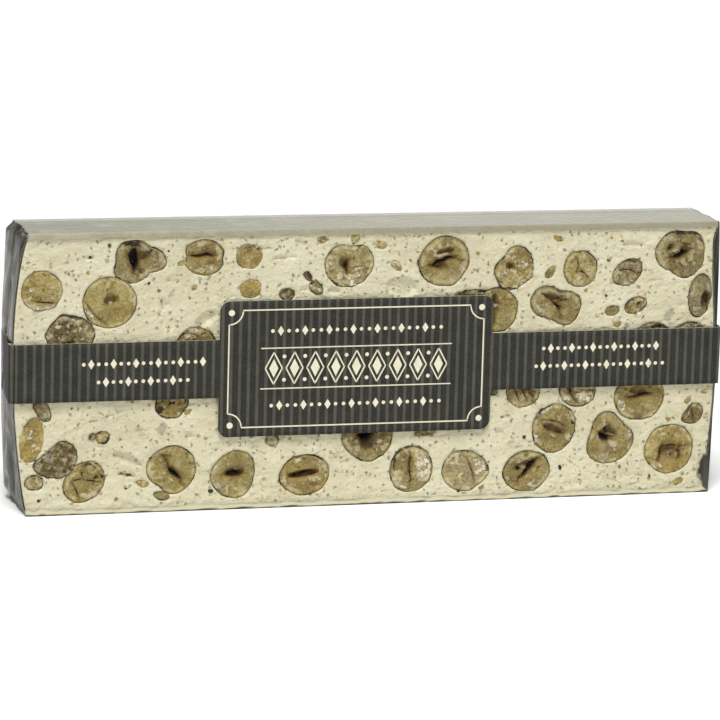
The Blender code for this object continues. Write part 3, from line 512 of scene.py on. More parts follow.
while len(small_bits) < SPECKS:
    spot = (small_rng.uniform(-88, 88), small_rng.uniform(2.5, 68.5))
    placed = front_nuts + front_pieces + small_bits
    if all(math.dist(spot, other["at"]) > other["size"][0] / 2 + 1.3 for other in placed):
        size = small_rng.choice([0.5, 0.6, 0.7, 0.9, 1.2])
        small_bits.append(kernel(spot, (size, size * small_rng.uniform(0.5, 0.9),
                                        small_rng.uniform(-90, 90)), 1.0,
                                 small_rng.choice([0.7, 0.9, 1.0, 1.1]), rim=0.1, rough=0.4))
nougat_crumbs = kernels_object("nougat_crumbs", small_bits)
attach(nougat_crumbs, "root")


# The cut hazelnuts of the back
# The saw has cut the back face too, so the same kind of kernels lie flush with it. No two are alike.
BACK_MORE, MOST_TRIES = 16, 4000
BACK_SEED = 11
back_rng = random.Random(BACK_SEED)


def back_kernel(at, long, short, lean):
    """A kernel with a split, a rim of skin and some flakes, as chance has it."""
    turn = back_rng.uniform(-90, 90)
    length = long * back_rng.uniform(0.35, 0.6)
    width = back_rng.choice([0.4, 0.6, 0.9, 1.4])
    spread = [back_rng.uniform(-0.3, 0.3) * long for _ in range(4)]
    marks = {"holes": [(0.1, 0.0, length, width, turn)],
             "hollows": [(spread[0] * 0.4, spread[1] * 0.4, length, length * 0.45, turn)],
             "flakes": [(spread[0], spread[1], long * 0.22, long * 0.13, turn + 40)],
             "bulges": [(back_rng.uniform(0, 360), back_rng.uniform(-0.12, 0.05), 18) for _ in range(2)],
             "crusts": [(spread[2] * 1.3, short * 0.43, long * 0.3, 0.5, 0)]}
    if back_rng.random() < 0.35:
        marks["holes"] = []
        marks["cracks"] = [(-long * 0.3, spread[2] * 0.5, long * 0.32, spread[3] * 0.6, 0.6)]
    return kernel(at, (long, short, lean), back_rng.uniform(0.2, 0.85), back_rng.uniform(0.78, 1.1),
                  rim=back_rng.uniform(0.5, 1.0), rough=back_rng.uniform(0.1, 0.5), side=1, **marks)


back_nuts = []
for number in range(1, 16):
    low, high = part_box(f"hazelnut_back_{number:02d}")
    wide, tall = (high.x - low.x) / MM, (high.z - low.z) / MM
    back_nuts.append(back_kernel(node_place(f"hazelnut_back_{number:02d}"), wide, tall, 0))
tries = 0
while len(back_nuts) < 15 + BACK_MORE and tries < MOST_TRIES:
    tries += 1
    wide = back_rng.uniform(7.5, 11.5)
    spot = (back_rng.uniform(-84, 84), back_rng.uniform(7, 64))
    if all(math.dist(spot, other["at"]) > (wide + other["size"][0]) / 2 + 0.6 for other in back_nuts):
        back_nuts.append(back_kernel(spot, wide, wide * back_rng.uniform(0.8, 1.0),
                                     back_rng.uniform(-90, 90)))
hazelnuts_back = kernels_object("hazelnuts_back", back_nuts)
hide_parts(*(f"hazelnut_back_{number:02d}" for number in range(1, 16)))
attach(hazelnuts_back, "root")


def tint(red, green, blue):
    """A colour as a screen shows it, 0 to 255, as the light that the shader works with."""
    return tuple(((part / 255 + 0.055) / 1.055) ** 2.4 for part in (red, green, blue)) + (1.0,)


def add_node(tree, kind, inputs=None, **settings):
    """A shader node with its settings, its inputs given as values or as other nodes' outputs."""
    made = tree.nodes.new("ShaderNode" + kind)
    for key, value in settings.items():
        setattr(made, key, value)
    for key, value in (inputs or {}).items():
        if isinstance(value, bpy.types.NodeSocket):
            tree.links.new(value, made.inputs[key])
        else:
            made.inputs[key].default_value = value
    return made


def value_of(tree, name):
    """A painted value of the mesh."""
    return add_node(tree, "Attribute", attribute_name=name).outputs["Fac"]


def ramp(tree, value, start, end, low=0.0, high=1.0):
    """The value carried from one range to another, held at both ends."""
    inputs = {"Value": value, "From Min": start, "From Max": end, "To Min": low, "To Max": high}
    return add_node(tree, "MapRange", inputs, interpolation_type="SMOOTHSTEP").outputs["Result"]


def calc(tree, operation, first, second=0.0, clamp=False):
    inputs = {0: first, 1: second}
    return add_node(tree, "Math", inputs, operation=operation, use_clamp=clamp).outputs[0]


def blend(tree, share, first, second, how="MIX"):
    inputs = {"Factor": share, "A": first, "B": second}
    made = add_node(tree, "Mix", data_type="RGBA", blend_type=how)
    for key, value in inputs.items():
        socket = [s for s in made.inputs if s.name == key and s.enabled][0]
        if isinstance(value, bpy.types.NodeSocket):
            tree.links.new(value, socket)
        else:
            socket.default_value = value
    return [s for s in made.outputs if s.enabled][0]


def grain_group():
    """Fine grain of a cut or pressed face: a height and a mask that change over the surface."""
    group = bpy.data.node_groups.new("Fine grain", "ShaderNodeTree")
    group.interface.new_socket("Scale", in_out="INPUT", socket_type="NodeSocketFloat")
    group.interface.new_socket("Height", in_out="OUTPUT", socket_type="NodeSocketFloat")
    group.interface.new_socket("Mask", in_out="OUTPUT", socket_type="NodeSocketFloat")
    start, end = group.nodes.new("NodeGroupInput"), group.nodes.new("NodeGroupOutput")
    place = add_node(group, "TexCoord").outputs["Object"]
    fine = add_node(group, "TexNoise", {"Vector": place, "Scale": start.outputs["Scale"], "Detail": 4.0,
                                        "Roughness": 0.6})
    wide = calc(group, "MULTIPLY", start.outputs["Scale"], 0.22)
    broad = add_node(group, "TexNoise", {"Vector": place, "Scale": wide, "Detail": 3.0})
    both = calc(group, "ADD", calc(group, "MULTIPLY", fine.outputs["Fac"], 0.55),
                calc(group, "MULTIPLY", broad.outputs["Fac"], 0.45))
    group.links.new(both, end.inputs["Height"])
    group.links.new(ramp(group, both, 0.38, 0.62), end.inputs["Mask"])
    return group


FINE_GRAIN = grain_group()


def grain(tree, scale):
    made = tree.nodes.new("ShaderNodeGroup")
    made.node_tree = FINE_GRAIN
    made.inputs["Scale"].default_value = scale
    return made.outputs["Height"], made.outputs["Mask"]


def new_material(name, roughness, **constants):
    """A material with its Principled shader, whose fixed values are set on its own sockets."""
    made = bpy.data.materials.new(name)
    made.use_nodes = True
    shader = made.node_tree.nodes["Principled BSDF"]
    shader.inputs["Roughness"].default_value = roughness
    for key, value in constants.items():
        shader.inputs[key.replace("_", " ")].default_value = value
    return made, made.node_tree, shader


def finish_bump(tree, shader, height, distance, strength=1.0):
    bump = add_node(tree, "Bump", {"Height": height, "Distance": distance, "Strength": strength})
    tree.links.new(bump.outputs["Normal"], shader.inputs["Normal"])


def kernel_material():
    """Roasted kernel: grey tan to gold, with rays, mottling, brown splits and a line of dark skin, with
    painted shade in its hollows and holes and painted highlight on its ridges and lumps.
    """
    made, tree, shader = new_material("cut_hazelnut", 0.5, Specular_IOR_Level=0.3)
    tone, light, rough = (value_of(tree, name) for name in ("tone", "light", "rough"))
    place = add_node(tree, "TexCoord").outputs["Object"]
    height, mask = grain(tree, 1700.0)
    cloud = add_node(tree, "TexNoise", {"Vector": place, "Scale": 330.0, "Detail": 3.0}).outputs["Fac"]
    rays = add_node(tree, "Attribute", attribute_name="rays").outputs["Vector"]
    spokes = add_node(tree, "TexNoise", {"Vector": rays, "Scale": 2.6, "Detail": 3.0}).outputs["Fac"]
    shade = add_node(tree, "TexNoise", {"Vector": place, "Scale": 150.0, "Detail": 2.0}).outputs["Fac"]
    golden = calc(tree, "ADD", tone, ramp(tree, cloud, 0.3, 0.7, -0.4, 0.4), clamp=True)
    colour = blend(tree, golden, tint(152, 139, 88), tint(166, 141, 62))
    colour = blend(tree, ramp(tree, tone, 0.42, 0.15, 0.0, 0.65), colour, tint(166, 155, 120))
    colour = blend(tree, ramp(tree, cloud, 0.52, 0.72, 0.0, 0.5), colour, tint(188, 174, 118))
    colour = blend(tree, ramp(tree, spokes, 0.50, 0.62, 0.0, 0.45), colour, tint(196, 182, 124))
    colour = blend(tree, ramp(tree, spokes, 0.45, 0.30, 0.0, 0.45), colour, tint(108, 84, 36))
    colour = blend(tree, ramp(tree, shade, 0.50, 0.34, 0.0, 0.5), colour, tint(118, 98, 52))
    colour = blend(tree, ramp(tree, shade, 0.52, 0.66, 0.0, 0.35), colour, tint(198, 184, 128))
    worn = calc(tree, "MULTIPLY", mask, ramp(tree, rough, 0.0, 1.0, 0.15, 0.75))
    colour = blend(tree, worn, colour, tint(98, 80, 42))
    # Painted highlight on the ridges and painted shade in the folds, following the relief
    high = value_of(tree, "high")
    colour = blend(tree, ramp(tree, high, 0.15, 0.75, 0.0, 0.7), colour, tint(212, 202, 162))
    colour = blend(tree, ramp(tree, high, -0.25, -0.95, 0.0, 0.7), colour, tint(88, 70, 34))
    # Broken shards of kernel in pale tones that differ at random; the dark lines between the shards are
    # painted shade
    shards = add_node(tree, "TexVoronoi", {"Vector": place, "Scale": 950.0})
    cracks = add_node(tree, "TexVoronoi", {"Vector": place, "Scale": 950.0}, feature="DISTANCE_TO_EDGE")
    shard = add_node(tree, "SeparateColor", {"Color": shards.outputs["Color"]}).outputs["Red"]
    shard_colour = blend(tree, shard, tint(160, 146, 102), tint(236, 229, 203))
    shard_colour = blend(tree, ramp(tree, cracks.outputs["Distance"], 0.07, 0.0, 0.0, 0.75), shard_colour,
                         tint(104, 86, 48))
    crumbly = calc(tree, "MULTIPLY", ramp(tree, shard, 0.55, 0.8), ramp(tree, rough, 0.1, 0.7, 0.0, 0.8))
    crumbly = calc(tree, "MULTIPLY", crumbly, ramp(tree, cloud, 0.45, 0.6))
    colour = blend(tree, crumbly, colour, shard_colour)
    hollow, lump = value_of(tree, "hollow"), value_of(tree, "lump")
    # Browner in the sunken hollows: painted shade
    colour = blend(tree, calc(tree, "MULTIPLY", hollow, 0.7), colour, tint(122, 92, 42))
    hole = value_of(tree, "hole")
    # Golden brown round the holes, darker towards them: partly the roasted colour of the split, partly
    # painted shade
    colour = blend(tree, ramp(tree, hole, 1.8, 0.25, 0.0, 0.6), colour, tint(150, 122, 58))
    colour = blend(tree, ramp(tree, hole, 0.6, 0.0, 0.0, 0.85), colour, tint(92, 68, 30))
    flake = calc(tree, "ADD", value_of(tree, "flake"), ramp(tree, height, 0.3, 0.7, -0.4, 0.4))
    fleck = add_node(tree, "TexNoise", {"Vector": place, "Scale": 1500.0, "Detail": 2.0}).outputs["Fac"]
    powder = calc(tree, "MULTIPLY", ramp(tree, fleck, 0.60, 0.68), ramp(tree, cloud, 0.50, 0.64, 0.0, 0.6))
    colour = blend(tree, powder, colour, tint(220, 212, 178))
    colour = blend(tree, ramp(tree, fleck, 0.42, 0.32, 0.0, 0.6), colour, tint(92, 70, 34))
    broken = ramp(tree, flake, 0.05, -0.15)
    colour = blend(tree, calc(tree, "MULTIPLY", broken, 0.9), colour, shard_colour)
    colour = blend(tree, ramp(tree, calc(tree, "ABSOLUTE", flake), 0.10, 0.0, 0.0, 0.6), colour,
                   tint(112, 92, 50))
    # Pale raised lumps, made lighter still as a painted highlight
    colour = blend(tree, calc(tree, "MULTIPLY", lump, 0.85), colour, tint(214, 202, 164))
    # Near black inside the holes: painted shade
    colour = blend(tree, ramp(tree, hole, 0.02, -0.16), colour, tint(52, 32, 12))
    colour = blend(tree, ramp(tree, hole, -0.12, -0.32), colour, tint(10, 6, 3))
    crack = value_of(tree, "crack")
    colour = blend(tree, ramp(tree, crack, 0.9, 0.1, 0.0, 0.5), colour, tint(118, 90, 42))
    colour = blend(tree, ramp(tree, crack, 0.20, 0.07), colour, tint(30, 20, 9))
    crust = calc(tree, "ADD", value_of(tree, "crust"), ramp(tree, height, 0.35, 0.65, -0.35, 0.35))
    colour = blend(tree, ramp(tree, crust, 0.06, -0.06, 0.0, 0.95), colour, tint(38, 27, 13))
    edge = value_of(tree, "rim")
    colour = blend(tree, ramp(tree, edge, 0.6, 0.1, 0.0, 0.6), colour, tint(104, 82, 40))
    pale = calc(tree, "MULTIPLY", ramp(tree, edge, 2.2, 1.3), ramp(tree, edge, 0.5, 1.0))
    pale = calc(tree, "MULTIPLY", pale, ramp(tree, cloud, 0.48, 0.58, 0.0, 0.5))
    colour = blend(tree, pale, colour, tint(216, 204, 160))
    broken_rim = calc(tree, "ADD", edge, ramp(tree, cloud, 0.40, 0.60, -0.22, 0.62))
    colour = blend(tree, ramp(tree, broken_rim, 0.34, 0.16, 0.0, 0.95), colour, tint(34, 24, 11))
    scaled = add_node(tree, "VectorMath", {0: colour}, operation="SCALE")
    tree.links.new(light, scaled.inputs["Scale"])
    tree.links.new(scaled.outputs[0], shader.inputs["Base Color"])
    gloss = calc(tree, "ADD", ramp(tree, mask, 0.0, 1.0, 0.36, 0.55), ramp(tree, hole, 0.1, -0.1, 0.0, 0.4))
    tree.links.new(gloss, shader.inputs["Roughness"])
    steps = calc(tree, "MULTIPLY", shard, calc(tree, "MAXIMUM", broken, crumbly))
    bumps = calc(tree, "ADD", height, calc(tree, "MULTIPLY", steps, 0.5))
    finish_bump(tree, shader, bumps, 0.0013)
    return made


CUT_HAZELNUT = kernel_material()
for thing in (hazelnuts_front, hazelnut_pieces, nougat_crumbs, hazelnuts_back):
    thing.data.materials.append(CUT_HAZELNUT)


# The nougat
# Egg white, honey and sugar beaten until firm, poured round the nuts and sawn into slices when cold.
# The sawn faces are matt, with open bubbles, drag lines and specks of roasted skin.
CELL = 0.46
HALF_LENGTH = NOUGAT_HIGH[0] - 0.9
LOW_Z, HIGH_Z = NOUGAT_LOW[2] - 0.2, NOUGAT_HIGH[2] + 0.2
EDGE_STEPS = (0.0, 0.08, 0.24)
EDGE_IN = (0.30, 0.10, 0.0)


def left_swell(y, z):
    """How far the left end stands out, most at the front and above the middle."""
    up = np.clip((z - LOW_Z) / (HIGH_Z - LOW_Z), 0, 1)
    bow = np.maximum(np.sin(math.pi * up ** 1.2), 0) ** 0.6
    back = np.clip((y - FRONT_Y) / (BACK_Y - FRONT_Y), 0, 1)
    return 3.8 * bow * (1 - 0.8 * back)


def right_wave(z):
    up = np.clip((z - LOW_Z) / (HIGH_Z - LOW_Z), 0, 1)
    ends = np.minimum(np.minimum(up, 1 - up) / 0.05, 1)
    return 0.9 * ends * np.sin(2 * math.pi * (up - 0.16) / 1.04)


def steps_between(low, high, cell):
    """Even steps, an even number of them, with closer ones at both ends for the rounded edge."""
    inner = np.linspace(low + 0.5, high - 0.5, 2 * round((high - low - 1) / cell / 2) - 1)
    edge = np.array(EDGE_STEPS)
    return np.concatenate([low + edge, inner, high - edge[::-1]])


def grid_faces(columns, rows, start=0, flip=False):
    faces = []
    for i in range(columns - 1):
        for j in range(rows - 1):
            a = start + i * rows + j
            face = (a, a + rows, a + rows + 1, a + 1)
            faces.append(face[::-1] if flip else face)
    return faces


def perimeter(columns, rows, start=0):
    """Indices round a grid: along the bottom, up the right, back along the top and down the left."""
    bottom = [start + i * rows for i in range(columns)]
    right = [start + (columns - 1) * rows + j for j in range(1, rows)]
    top = [start + i * rows + rows - 1 for i in range(columns - 2, -1, -1)]
    left = [start + j for j in range(rows - 2, 0, -1)]
    return bottom + right + top + left


def stretched(x, y, z):
    """x carried out to the swollen left end and the wavy right end."""
    share = np.clip((x + HALF_LENGTH) / (2 * HALF_LENGTH), 0, 1)
    near_left = fade(-x, HALF_LENGTH - 26, HALF_LENGTH)
    near_right = fade(x, HALF_LENGTH - 12, HALF_LENGTH)
    return x - left_swell(y, z) * near_left * (1 - share) + right_wave(z) * near_right * share


def nut_fit(x, z, nut):
    """Distance inside a nut's outline and the share of the way out to it, at each point."""
    u = (x - nut["at"][0]) * (1 if nut["side"] < 0 else -1)
    v = z - nut["at"][1]
    reach = outline(nut, np.arctan2(v, u))
    return reach - np.hypot(u, v), np.hypot(u, v) / reach


def pockets(x, z, nuts, cell):
    """Grid points drawn on to the nuts' outlines, and how deep the pocket is at each."""
    deep = np.zeros(x.shape)
    for nut in nuts:
        near = np.nonzero(np.hypot(x - nut["at"][0], z - nut["at"][1]) < nut["size"][0] * 0.75 + 1)[0]
        if not len(near):
            continue
        inside, share = nut_fit(x[near], z[near], nut)
        snap = np.abs(inside) < cell * 0.52
        hit = near[snap]
        pull = 1 / share[snap]
        x[hit] = nut["at"][0] + (x[hit] - nut["at"][0]) * pull
        z[hit] = nut["at"][1] + (z[hit] - nut["at"][1]) * pull
        within = near[(inside > 0) & ~snap]
        share = share[(inside > 0) & ~snap]
        reach = min(nut["size"][1] * 0.425, 5.6)
        deep[within] = np.maximum(deep[within], (reach + 0.5) * np.sqrt(1 - share ** 2))
    return deep


# Open bubbles of the front: middle x and z, long and short diameter, lean, depth
FRONT_DENTS = [
    (-45.0, 49.2, 6.2, 3.6, 35, 1.1), (-61.5, 21.0, 2.5, 1.7, -10, 0.5), (-64.4, 13.6, 8.6, 2.6, -24, 0.8),
    (-48.5, 19.2, 2.6, 1.5, 0, 0.5), (67.4, 66.0, 6.0, 1.5, 0, 0.7), (-21.0, 68.2, 3.4, 1.8, -25, 1.0),
    (55.4, 9.6, 1.6, 1.2, 60, 0.9), (33.0, 17.8, 2.0, 1.2, 0, 0.6), (-31.4, 3.6, 1.2, 1.0, 0, 0.7),
    (-61.0, 7.6, 3.6, 1.8, -8, 0.5), (6.0, 56.2, 8.6, 5.6, -8, 0.7), (-12.0, 55.6, 3.4, 1.8, 0, 0.7),
    (-31.0, 66.8, 6.0, 1.0, 8, 0.3), (-25.0, 64.4, 6.8, 1.2, 4, 0.35), (-37.4, 29.4, 3.4, 1.4, 0, 0.5),
    (-54.8, 3.2, 4.0, 1.0, 0, 0.4), (-68.8, 25.2, 2.0, 1.2, 0, 0.3), (50.6, 64.4, 1.8, 1.0, 20, 0.3),
    (73.4, 56.8, 3.4, 0.7, 0, 0.25), (34.6, 21.6, 2.4, 1.2, 0, 0.3), (36.4, 14.8, 1.5, 1.2, 30, 0.5),
    (61.2, 6.0, 1.8, 0.8, 30, 0.4), (-24.8, 6.6, 1.4, 2.0, 80, 0.5), (-12.2, 16.4, 1.4, 1.0, 0, 0.9),
    (-31.6, 15.8, 2.0, 1.4, 0, 0.4), (11.0, 60.8, 1.2, 0.7, 0, 0.4),
]


def dented(x, z, dents):
    """How far the open bubbles go in at each point."""
    deep = np.zeros(x.shape)
    for at_x, at_z, long, short, lean, depth in dents:
        near = np.nonzero(np.hypot(x - at_x, z - at_z) < long)[0]
        away = outside_oval(x[near], z[near], (at_x, at_z, long, short, lean))
        away = away + 0.10 * smooth_noise(x[near], 0, z[near], 1.1)
        bowl = min(1.2 * depth, 0.26 * short + 0.1) * (1 - (1 - np.clip(-away / (short / 2), 0, 1)) ** 3.6)
        lip = -0.10 * fade(away, 0.7, 0.1)
        deep[near] = np.where(away < 0, np.maximum(deep[near], bowl),
                              np.where(deep[near] == 0, lip, deep[near]))
    return deep


def sawn(x, z, seed):
    """Low unevenness of a sawn face: broad swells, drag lines and a few small pits."""
    relief = 0.10 * smooth_noise(x, 0, z, 14, seed) + 0.08 * smooth_noise(x, 0, z, 4.2, seed)
    relief += (0.05 * smooth_noise(x, 0, z, 1.8, seed)
               + 0.04 * smooth_noise(x * 0.6, 0, z + 0.12 * x, 1.3, seed))
    pits = smooth_noise(x, 5, z, 1.5, seed + 2)
    return relief + 1.6 * np.clip(pits - 0.62, 0, 1)


def sawn_face(nuts, dents, cell, side):
    """One big face as a grid of points: columns by rows."""
    columns = steps_between(-HALF_LENGTH, HALF_LENGTH, cell)
    rows = steps_between(LOW_Z, HIGH_Z, cell)
    x, z = (part.ravel() for part in np.meshgrid(columns, rows, indexing="ij"))
    border = np.minimum(np.minimum(x + HALF_LENGTH, HALF_LENGTH - x), np.minimum(z - LOW_Z, HIGH_Z - z))
    base = FRONT_Y if side < 0 else BACK_Y
    x = stretched(x, base, z)
    inner = border > 0.3
    deep_x, deep_z = x.copy(), z.copy()
    deep = pockets(deep_x, deep_z, nuts, cell)
    x[inner], z[inner] = deep_x[inner], deep_z[inner]
    relief = sawn(x, z, 3 if side < 0 else 9) * fade(border, 0.2, 2.0)
    bubbles = dented(x, z, dents)
    relief = np.where(deep > 0, 0, relief) + np.where(inner, np.where(deep > 0, deep, bubbles), 0)
    relief = np.maximum(relief, -0.2)
    relief = relief + np.interp(border, EDGE_STEPS, EDGE_IN) * (1 + 0.5 * smooth_noise(x, 0, z, 1.2))
    y = base - side * relief
    return np.stack([x, y, z], axis=1), len(columns), len(rows)


BACK_DENTS = 34
back_dents = []
while len(back_dents) < BACK_DENTS:
    spot = (back_rng.uniform(-87, 87), back_rng.uniform(4, 67))
    long = back_rng.choice([0.9, 1.2, 1.6, 2.4, 3.6, 5.2])
    if all(math.dist(spot, nut["at"]) > nut["size"][0] / 2 + long / 2 + 0.4 for nut in back_nuts):
        back_dents.append((*spot, long, long * back_rng.uniform(0.35, 0.8), back_rng.uniform(-60, 60),
                           back_rng.uniform(0.3, 0.9)))

pocketed = [nut for nut in front_nuts + front_pieces + small_bits if nut["size"][1] >= POCKET_LEAST]
front_grid, front_columns, front_rows = sawn_face(pocketed, FRONT_DENTS, CELL, -1)
back_grid, back_columns, back_rows = sawn_face(back_nuts, back_dents, 2 * CELL, 1)
front_loop = perimeter(front_columns, front_rows)
SIDE_ROWS, MOST_STEPS = 16, 6
loop_x, loop_z = front_grid[front_loop, 0], front_grid[front_loop, 2]
flat_columns = steps_between(-HALF_LENGTH, HALF_LENGTH, CELL)
flat_x = np.repeat(flat_columns, front_rows)[front_loop]
outward_x = np.where(np.abs(flat_x) > HALF_LENGTH - 1e-6, np.sign(flat_x), 0)
outward_z = np.where(loop_z > HIGH_Z - 1e-6, 1, 0) - np.where(loop_z < LOW_Z + 1e-6, 1, 0)
points, faces = [front_grid], grid_faces(front_columns, front_rows)
count = len(front_grid)
last_ring = front_loop
for row in range(1, SIDE_ROWS):
    y = FRONT_Y + EDGE_IN[0] + (BACK_Y - FRONT_Y - 2 * EDGE_IN[0]) * row / SIDE_ROWS
    rough = (0.10 * smooth_noise(loop_x, y, loop_z, 2.2, 4)
             + 0.10 * smooth_noise(loop_x, y, loop_z, 0.9, 6) - 0.12)
    ring = np.stack([stretched(flat_x, y, loop_z) + outward_x * rough, np.full(len(loop_x), y),
                     loop_z + outward_z * rough], axis=1)
    points.append(ring)
    this_ring = list(range(count, count + len(ring)))
    for j in range(len(ring)):
        k = (j + 1) % len(ring)
        faces.append((last_ring[j], this_ring[j], this_ring[k], last_ring[k]))
    count += len(ring)
    last_ring = this_ring
back_start = count
points.append(back_grid)
faces += grid_faces(back_columns, back_rows, back_start, flip=True)
back_loop = perimeter(back_columns, back_rows, back_start)
back_points = back_grid[np.array(back_loop) - back_start]
ring_points = points[-2]
nearest = [int(np.argmin(np.hypot(back_points[:, 0] - p[0], back_points[:, 2] - p[2])))
           for p in ring_points]
for j in range(len(ring_points)):
    k = (j + 1) % len(ring_points)
    a, b = nearest[j], nearest[k]
    span = (b - a) % len(back_loop)
    steps = range(span + 1) if span < MOST_STEPS else range(1)
    reached = [back_loop[(a + step) % len(back_loop)] for step in steps]
    faces.append((last_ring[j], *reached, last_ring[k]))
points = np.concatenate(points)

# The corner that has broken off: its middle and half size in x, y and z
CHIP_AT, CHIP_HALF = np.array([90.6, -11.0, 6.0]), np.array([2.6, 4.6, 4.6])
from_chip = (points - CHIP_AT) / CHIP_HALF
reach = np.linalg.norm(from_chip, axis=1) + 1e-6
crumbly = 1 + 0.26 * smooth_noise(*points.T, 1.7) + 0.20 * smooth_noise(*points.T, 0.8)
inside = (reach < crumbly) & (reach > 0.05)
points[inside] = CHIP_AT + from_chip[inside] / reach[inside, None] * crumbly[inside, None] * CHIP_HALF
points[:, 1] = np.clip(points[:, 1], FRONT_Y - 0.12, BACK_Y + 0.12)

nougat_body = mesh_object("nougat_body", points, faces)
SMEARS = [
    (-53.9, 56.0, 4.0, 2.0, 55), (-55.8, 21.6, 4.0, 3.2, 70), (37.9, 13.6, 4.6, 2.0, 15),
    (77.8, 47.6, 4.6, 3.0, 60), (-61.0, 20.0, 3.0, 2.0, 0),
]
smear = np.clip(-nearest_oval(points[:, 0], points[:, 2], SMEARS), -1, 1.2) * (points[:, 1] < 0)
VEINS = [
    (56.6, 6.7, 62.6, 4.8, 0.2), (62.6, 4.8, 67.1, 2.6, 0.2), (67.1, 2.6, 72.3, 3.7, -0.3),
    (-27.2, 68.0, -25.6, 69.2, 0.1), (-1.0, 57.4, 7.6, 55.2, 0.5), (69.8, 33.0, 73.4, 31.2, 0.2),
    (50.6, 10.4, 55.6, 6.6, 0.4), (-16.6, 12.8, -14.2, 14.6, 0.1),
]
vein = nearest_crack(points[:, 0], points[:, 2], VEINS)
paint(nougat_body, "smear", smear)
paint(nougat_body, "vein", np.where(points[:, 1] < 0, vein, 9.0))
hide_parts("nougat")
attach(nougat_body, "root")


def nougat_material():
    """Cream nougat: soft uneven colour, grey smears, brown and orange specks, pin holes with painted shade
    inside.
    """
    made, tree, shader = new_material("white_nougat", 0.5, Subsurface_Weight=0.1, Subsurface_Scale=0.002)
    place = add_node(tree, "TexCoord").outputs["Object"]
    height, mask = grain(tree, 1100.0)
    cloud = add_node(tree, "TexNoise", {"Vector": place, "Scale": 60.0, "Detail": 4.0}).outputs["Fac"]
    stretch = add_node(tree, "VectorMath", {0: place, 1: (0.75, 1.0, 1.0)}, operation="MULTIPLY").outputs[0]
    drag = add_node(tree, "TexNoise", {"Vector": stretch, "Scale": 420.0, "Detail": 2.0}).outputs["Fac"]
    colour = blend(tree, ramp(tree, cloud, 0.32, 0.68), tint(203, 196, 163), tint(215, 209, 178))
    colour = blend(tree, ramp(tree, drag, 0.42, 0.66, 0.0, 0.35), colour, tint(226, 221, 196))
    colour = blend(tree, calc(tree, "MULTIPLY", mask, 0.14), colour, tint(194, 184, 146))
    warp = add_node(tree, "TexNoise", {"Vector": place, "Scale": 1500.0, "Detail": 2.0}).outputs["Color"]
    warp = add_node(tree, "VectorMath", {0: warp, 1: (0.0014, 0.0014, 0.0014)},
                    operation="MULTIPLY").outputs[0]
    bent = add_node(tree, "VectorMath", {0: place, 1: warp}, operation="ADD").outputs[0]
    for scale, size, shade, share, seed in (
        (300.0, 0.14, tint(156, 122, 60), 0.62, 3.0), (480.0, 0.22, tint(194, 166, 100), 0.45, 11.0),
        (260.0, 0.08, tint(104, 76, 34), 0.72, 23.0), (800.0, 0.28, tint(188, 162, 100), 0.55, 37.0),
    ):
        moved = add_node(tree, "VectorMath", {0: bent, 1: (seed, seed, seed)}, operation="ADD").outputs[0]
        cells = add_node(tree, "TexVoronoi", {"Vector": moved, "Scale": scale, "Randomness": 1.0})
        pick = add_node(tree, "SeparateColor", {"Color": cells.outputs["Color"]})
        few = ramp(tree, pick.outputs["Red"], share, share + 0.02)
        grown = calc(tree, "MULTIPLY", pick.outputs["Green"], size)
        spot = ramp(tree, calc(tree, "SUBTRACT", cells.outputs["Distance"], grown), 0.03, 0.0)
        colour = blend(tree, calc(tree, "MULTIPLY", calc(tree, "MULTIPLY", spot, few), 0.8), colour, shade)
    smear = value_of(tree, "smear")
    smear = calc(tree, "ADD", smear, ramp(tree, drag, 0.3, 0.7, -0.3, 0.3))
    colour = blend(tree, ramp(tree, smear, 0.2, 0.9, 0.0, 0.6), colour, tint(132, 130, 112))
    colour = blend(tree, ramp(tree, value_of(tree, "vein"), 0.34, 0.12, 0.0, 0.6), colour,
                   tint(150, 126, 78))
    # Small round pores, pressed in by the bump and painted golden brown inside as painted shade
    pores = add_node(tree, "TexVoronoi", {"Vector": bent, "Scale": 640.0})
    chance = add_node(tree, "SeparateColor", {"Color": pores.outputs["Color"]}).outputs["Red"]
    pore = calc(tree, "MULTIPLY", ramp(tree, pores.outputs["Distance"], 0.26, 0.14),
                ramp(tree, chance, 0.52, 0.57))
    colour = blend(tree, calc(tree, "MULTIPLY", pore, 0.55), colour, tint(176, 150, 92))
    tree.links.new(colour, shader.inputs["Base Color"])
    bumps = calc(tree, "ADD", calc(tree, "MULTIPLY", height, 0.5), calc(tree, "MULTIPLY", drag, 0.5))
    bumps = calc(tree, "SUBTRACT", bumps, calc(tree, "MULTIPLY", pore, 1.6))
    tree.links.new(ramp(tree, mask, 0.0, 1.0, 0.34, 0.55), shader.inputs["Roughness"])
    finish_bump(tree, shader, bumps, 0.0014)
    return made


nougat_body.data.materials.append(nougat_material())


